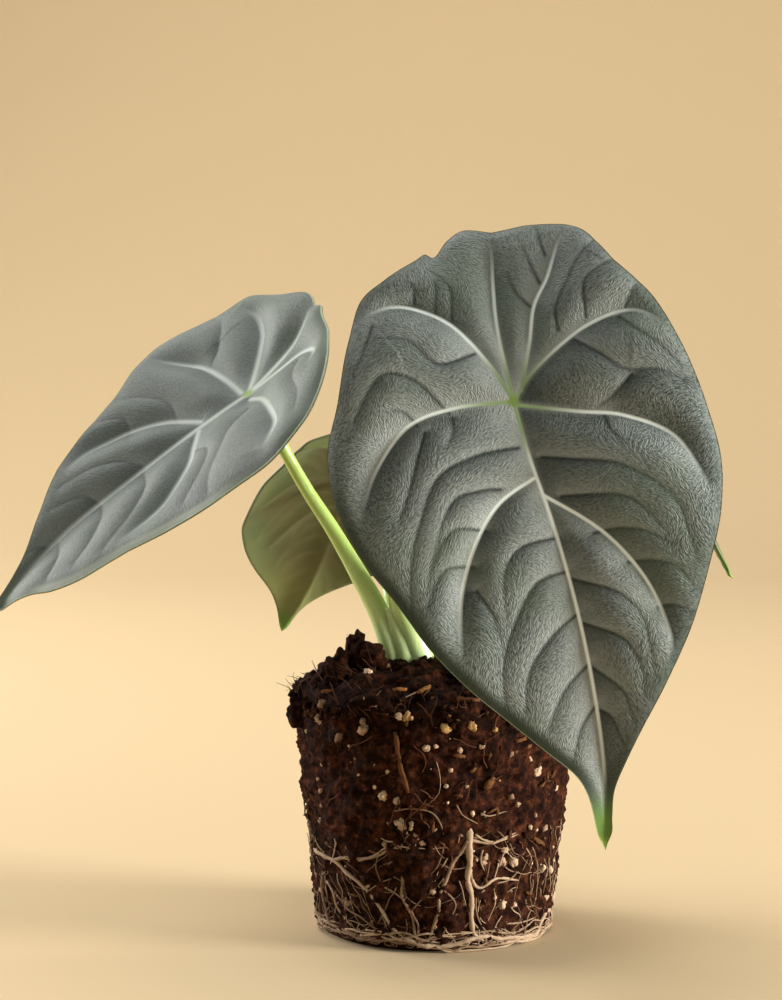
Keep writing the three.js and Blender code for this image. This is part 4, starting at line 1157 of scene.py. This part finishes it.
def add_flake(batch, start, end, width, lift, random, shade):
    """A flat strip with torn ends that lies on the ball."""
    count = 7
    top, bottom = [], []
    outward = (start + end) / 2
    outward[2] = 6.0 if start[2] > BALL_RIM_HEIGHT else 0.0
    outward /= np.linalg.norm(outward)
    along = (end - start) / np.linalg.norm(end - start)
    across = np.cross(outward, along)
    for share in np.linspace(0, 1, count):
        centre = start + (end - start) * share + outward * (lift + 0.25 * math.sin(3.1 * share))
        centre = centre + across * random.uniform(-0.12, 0.12) * width
        half = 0.5 * width * (0.35 + 0.65 * math.sin(math.pi * (0.12 + 0.76 * share)))
        half *= random.uniform(0.8, 1.15)
        for place in (centre - half * across, centre + half * across):
            top.append(place + outward * 0.16)
            bottom.append(place - outward * 0.2)
    shift, last = 2 * count, 2 * (count - 1)
    faces = []
    for low in range(0, last, 2):
        faces.append([low, low + 2, low + 3, low + 1])
        faces.append([shift + low, shift + low + 1, shift + low + 3, shift + low + 2])
        faces.append([low, shift + low, shift + low + 2, low + 2])
        faces.append([low + 1, low + 3, shift + low + 3, shift + low + 1])
    faces += [[0, 1, shift + 1, shift], [last, shift + last, shift + last + 1, last + 1]]
    batch.add(top + bottom, faces, shade)


def make_bark(material):
    random, batch = Random(17), Batch()
    for start, end, width, paleness in BARK_PX:
        add_flake(batch, on_photo_ball(*start), on_photo_ball(*end), width, 0.05, random, paleness)
    for _ in range(COUNTS["bark"]):
        degrees, height = random.uniform(0, 360), random.uniform(5, 63.5)
        length, turn = random.uniform(0.9, 3.2), random.uniform(0, math.pi)
        end_height = min(max(height + length * math.sin(turn), 2), 63.5)
        start = on_surface(degrees, height, 0)
        end = on_surface(degrees + math.degrees(length * math.cos(turn) / WALL_RADIUS), end_height, 0)
        if 0.8 <= np.linalg.norm(end - start) <= 9:
            add_flake(batch, start, end, random.uniform(0.3, 1.1), 0.0, random, 0.5 * random.random())
    batch.place("bark", material, "soil")


def make_fibres(material):
    """Peat fibres: most lie on the ball, and some stand out round its upper edge."""
    random, batch = Random(23), Batch()
    for _ in range(COUNTS["fibres"]):
        degrees, height = random.uniform(0, 360), random.uniform(3, 63)
        heading, length = random.uniform(0, 2 * math.pi), random.uniform(2.5, 9)
        line = []
        for _ in range(9):
            line.append(on_surface(degrees, height, 0.25 + 0.35 * random.random()))
            heading += random.uniform(-0.35, 0.35)
            degrees += math.degrees(length / 9 * math.cos(heading) / WALL_RADIUS)
            height = min(max(height + length / 9 * math.sin(heading), 1.5), 63.6)
        if max(np.linalg.norm(b - a) for a, b in zip(line, line[1:])) > 3:
            continue
        radius = random.uniform(0.06, 0.17)
        batch.add(*tube_mesh(space_curve(line, 16), [radius] * 16, 4), random.random())
    for index in range(COUNTS["standing_fibres"]):
        degrees = random.gauss(-50, 22) if index < COUNTS["left_fibres"] else random.uniform(0, 360)
        start = on_surface(degrees, random.uniform(53, 62), -0.3)
        lean = Vector(round_place(math.radians(degrees), 1, random.uniform(0.3, 2.5))).normalized()
        sway = np.array([random.uniform(-0.5, 0.5) for _ in range(3)])
        length = random.uniform(1.5, 6.5)
        line = [start + np.array(lean) * length * s + sway * length * s * s for s in np.linspace(0, 1, 6)]
        batch.add(*tube_mesh(space_curve(line, 10), np.linspace(0.1, 0.04, 10), 4), random.random())
    batch.place("fibres", material, "soil")


def wandering(line, random, sway, lift):
    """A smooth route that strays a little from side to side and in and out."""
    phases = [random.uniform(0, 6.3) for _ in range(6)]
    result = []
    for index, place in enumerate(line):
        share = index / 6
        side = sway * (math.sin(1.3 * share + phases[0]) + 0.6 * math.sin(3.1 * share + phases[1]))
        rise = 0.6 * sway * (math.sin(1.7 * share + phases[2]) + 0.5 * math.sin(3.7 * share + phases[3]))
        angle = math.atan2(place[0], -place[1]) + side / FOOT_RADIUS
        radius = math.hypot(place[0], place[1]) + lift * math.sin(2.3 * share + phases[4])
        result.append(round_place(angle, radius, max(0.35, place[2] + rise)))
    return result


def add_root(batch, points, radius, random, sides=10, sway=0.35, taper=0.4):
    length = sum(np.linalg.norm(b - a) for a, b in zip(points, points[1:]))
    count = max(10, int(length / 0.6))
    line = wandering(space_curve(points, count), random, sway, 0.12)
    phase = random.uniform(0, 6.3)
    radii = []
    for index in range(count):
        share = index / (count - 1)
        knots = 1 + 0.13 * math.sin(0.9 * index + phase) + 0.08 * math.sin(2.3 * index + 2 * phase)
        radii.append(radius * (1 - taper * share) * knots * min(1, (1 - share) * 8 + 0.3))
    line = [(x, y, max(z, own + 0.05)) for (x, y, z), own in zip(line, radii)]
    batch.add(*tube_mesh(line, radii, sides), random.random())


def make_roots(material):
    random, batch = Random(3), Batch()
    routes = list(ROOTS)
    for index in range(BACK_ROOTS["count"]):
        share = index / (BACK_ROOTS["count"] - 1)
        first = BACK_ROOTS["first"] + (BACK_ROOTS["last"] - BACK_ROOTS["first"]) * share
        first += random.uniform(-8, 8)
        sway, foot = random.uniform(-14, 14), random.uniform(2, 3.5)
        routes.append({
            "radius": BACK_ROOTS["radius"] * random.uniform(0.8, 1.2),
            "route": [(first, BACK_ROOTS["top"] + random.uniform(0, 5)),
                      (first + 0.4 * sway, random.uniform(18, 22)),
                      (first + sway, random.uniform(9, 13)), (first + sway + 8, foot + 1),
                      (first + sway + 22, foot), (first + sway + 36, 1.8)],
        })
    for root in routes:
        points = [on_ball(degrees, height, 0.1) for degrees, height in root["route"]]
        if not root.get("forks"):
            points[0] = points[0] * (0.86, 0.86, 1.0)
        add_root(batch, points, 0.78 * root["radius"], random)
    batch.place("roots_thick", material, "root", "roots")


def make_thin_roots(material):
    """Side roots, thickest near the foot of the ball."""
    random, batch = Random(8), Batch()
    for radius, route in THIN_ROOTS_PX:
        points = [on_photo_ball(column, row) for column, row in route]
        add_root(batch, points, 0.72 * radius, random, 7, 0.15)
    for _ in range(COUNTS["side_roots"]):
        degrees = random.uniform(0, 360)
        height = 2 + 26 * random.random() ** 1.5
        heading, step = random.uniform(-2.6, -0.5), random.uniform(1.2, 2.6)
        points = []
        for _ in range(random.randint(4, 10)):
            points.append(on_ball(degrees, height, random.uniform(-0.1, 0.35)))
            heading += random.uniform(-0.5, 0.5)
            degrees += math.degrees(step * math.cos(heading) / FOOT_RADIUS)
            height += step * math.sin(heading)
            if height < 1.6:
                height = random.uniform(0.9, 2.2)
                heading = 0.0 if math.cos(heading) > 0 else math.pi
        add_root(batch, points, random.uniform(0.07, 0.2), random, 5, 0.3, 0.5)
    for index in range(COUNTS["foot_roots"]):
        degrees, height = random.uniform(0, 360), random.uniform(0.6, 4.2)
        span = random.uniform(25, 70)
        points = [on_ball(degrees + span * s, height + 0.8 * math.sin(5 * s + index), 0.3)
                  for s in np.linspace(0, 1, 8)]
        add_root(batch, points, random.uniform(0.14, 0.38), random, 7, 0.55)
    batch.place("roots_thin", material, "root")


# Stage

def camera_pose():
    """The camera's place in mm and its directions ahead, right and up."""
    ahead = Vector((0, math.cos(CAMERA_PITCH), -math.sin(CAMERA_PITCH)))
    up = Vector((0, math.sin(CAMERA_PITCH), math.cos(CAMERA_PITCH)))
    right = Vector((1, 0, 0))
    across = (BASE_PX[0] - FRAME_CENTRE_PX[0]) / FOCAL_PX * CAMERA_DISTANCE
    above = (FRAME_CENTRE_PX[1] - BASE_PX[1]) / FOCAL_PX * CAMERA_DISTANCE
    return -(CAMERA_DISTANCE * ahead + across * right + above * up), ahead, right, up


def make_camera():
    camera = bpy.data.objects.new("camera", bpy.data.cameras.new("camera"))
    bpy.context.scene.collection.objects.link(camera)
    camera.data.sensor_width = SENSOR
    camera.data.lens = SENSOR * FOCAL_PX / FRAME_HEIGHT_PX
    camera.data.clip_end = 20
    camera.location = camera_pose()[0] * MM
    camera.rotation_euler = (math.pi / 2 - CAMERA_PITCH, 0, 0)
    bpy.context.scene.camera = camera


def make_backdrop():
    """A pale seamless floor that curves up far behind the plant."""
    half_width, near, far, bend, top = 3000, -1500, 1400, 700, 3000
    profile = [(near, 0), (far - bend, 0)]
    for turn in np.linspace(0, math.pi / 2, 13)[1:]:
        profile.append((far - bend + bend * math.sin(turn), bend - bend * math.cos(turn)))
    profile.append((far, top))
    places, faces = [], []
    for y, z in profile:
        places += [(-half_width, y, z), (half_width, y, z)]
    for low in range(0, len(places) - 2, 2):
        faces.append([low, low + 1, low + 3, low + 2])
    backdrop = make_object("backdrop", places, faces)
    backdrop.data.materials.append(Paint("backdrop_paper").finish((0.55, 0.405, 0.225), 0.9))


def make_light(name, place, target, size, watts, colour=(1.0, 1.0, 1.0)):
    light = bpy.data.objects.new(name, bpy.data.lights.new(name, "AREA"))
    bpy.context.scene.collection.objects.link(light)
    light.data.shape = "RECTANGLE"
    light.data.size, light.data.size_y = size[0] * MM, size[1] * MM
    light.data.energy = watts
    light.data.color = colour
    light.location = Vector(place) * MM
    light.rotation_euler = (Vector(target) - Vector(place)).to_track_quat("-Z", "Y").to_euler()


def make_stage():
    make_backdrop()
    middle = (0, 0, 100)
    make_light("key", (1000, -260, 170), middle, (350, 450), 30)
    make_light("top", (-350, 350, 950), middle, (700, 700), 8)
    make_light("left", (-880, 450, 300), middle, (400, 300), 10)
    make_light("front", (-500, -900, 260), middle, (700, 700), 1.2)
    make_light("wash", (0, 300, 1500), (0, 1400, 700), (1500, 800), 7.6, (1.0, 0.97, 0.93))
    world = bpy.data.worlds.new("studio")
    world.use_nodes = True
    world.node_tree.nodes["Background"].inputs["Color"].default_value = (0.86, 0.98, 1.0, 1)
    world.node_tree.nodes["Background"].inputs["Strength"].default_value = 0.2
    bpy.context.scene.world = world
    bpy.context.scene.view_settings.view_transform = "Standard"


def main():
    make_camera()
    make_stage()
    soil = soil_material()
    make_ball(soil)
    make_clods(soil)
    skins = {name: leaf_material(name) for name in LEAF_LOOKS}
    stalk = stalk_material()
    for seed, leaf in enumerate(LEAVES, 20):
        make_blade(leaf, seed, skins[leaf["look"]], leaf["slot"])
        make_stalk(leaf, stalk)
    place_tube("sheath", SHEATH["points"], SHEATH["radii"], 30, 24, stalk)
    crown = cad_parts["crown"].data
    crown.materials.clear()
    crown.materials.append(stalk)
    make_perlite(shaded_material("perlite_grain", (0.17, 0.09, 0.05), (0.60, 0.42, 0.26), 0.95, 0.6, 0.2))
    make_prills(shaded_material("feed_prill", (0.2, 0.085, 0.025), (0.44, 0.27, 0.085), 0.5, 0.7, 0.15, 0.3))
    make_bark(shaded_material("bark_fibre", (0.035, 0.012, 0.004), (0.26, 0.105, 0.03), 0.8, 0.7, 0.2))
    make_fibres(shaded_material("peat_fibre", (0.02, 0.009, 0.005), (0.13, 0.05, 0.02), 0.75, 0.7, 0.05))
    root = shaded_material("root_skin", (0.15, 0.08, 0.038), (0.42, 0.29, 0.175), 0.65, 1.2, 0.1, 0.2)
    make_roots(root)
    make_thin_roots(root)


main()
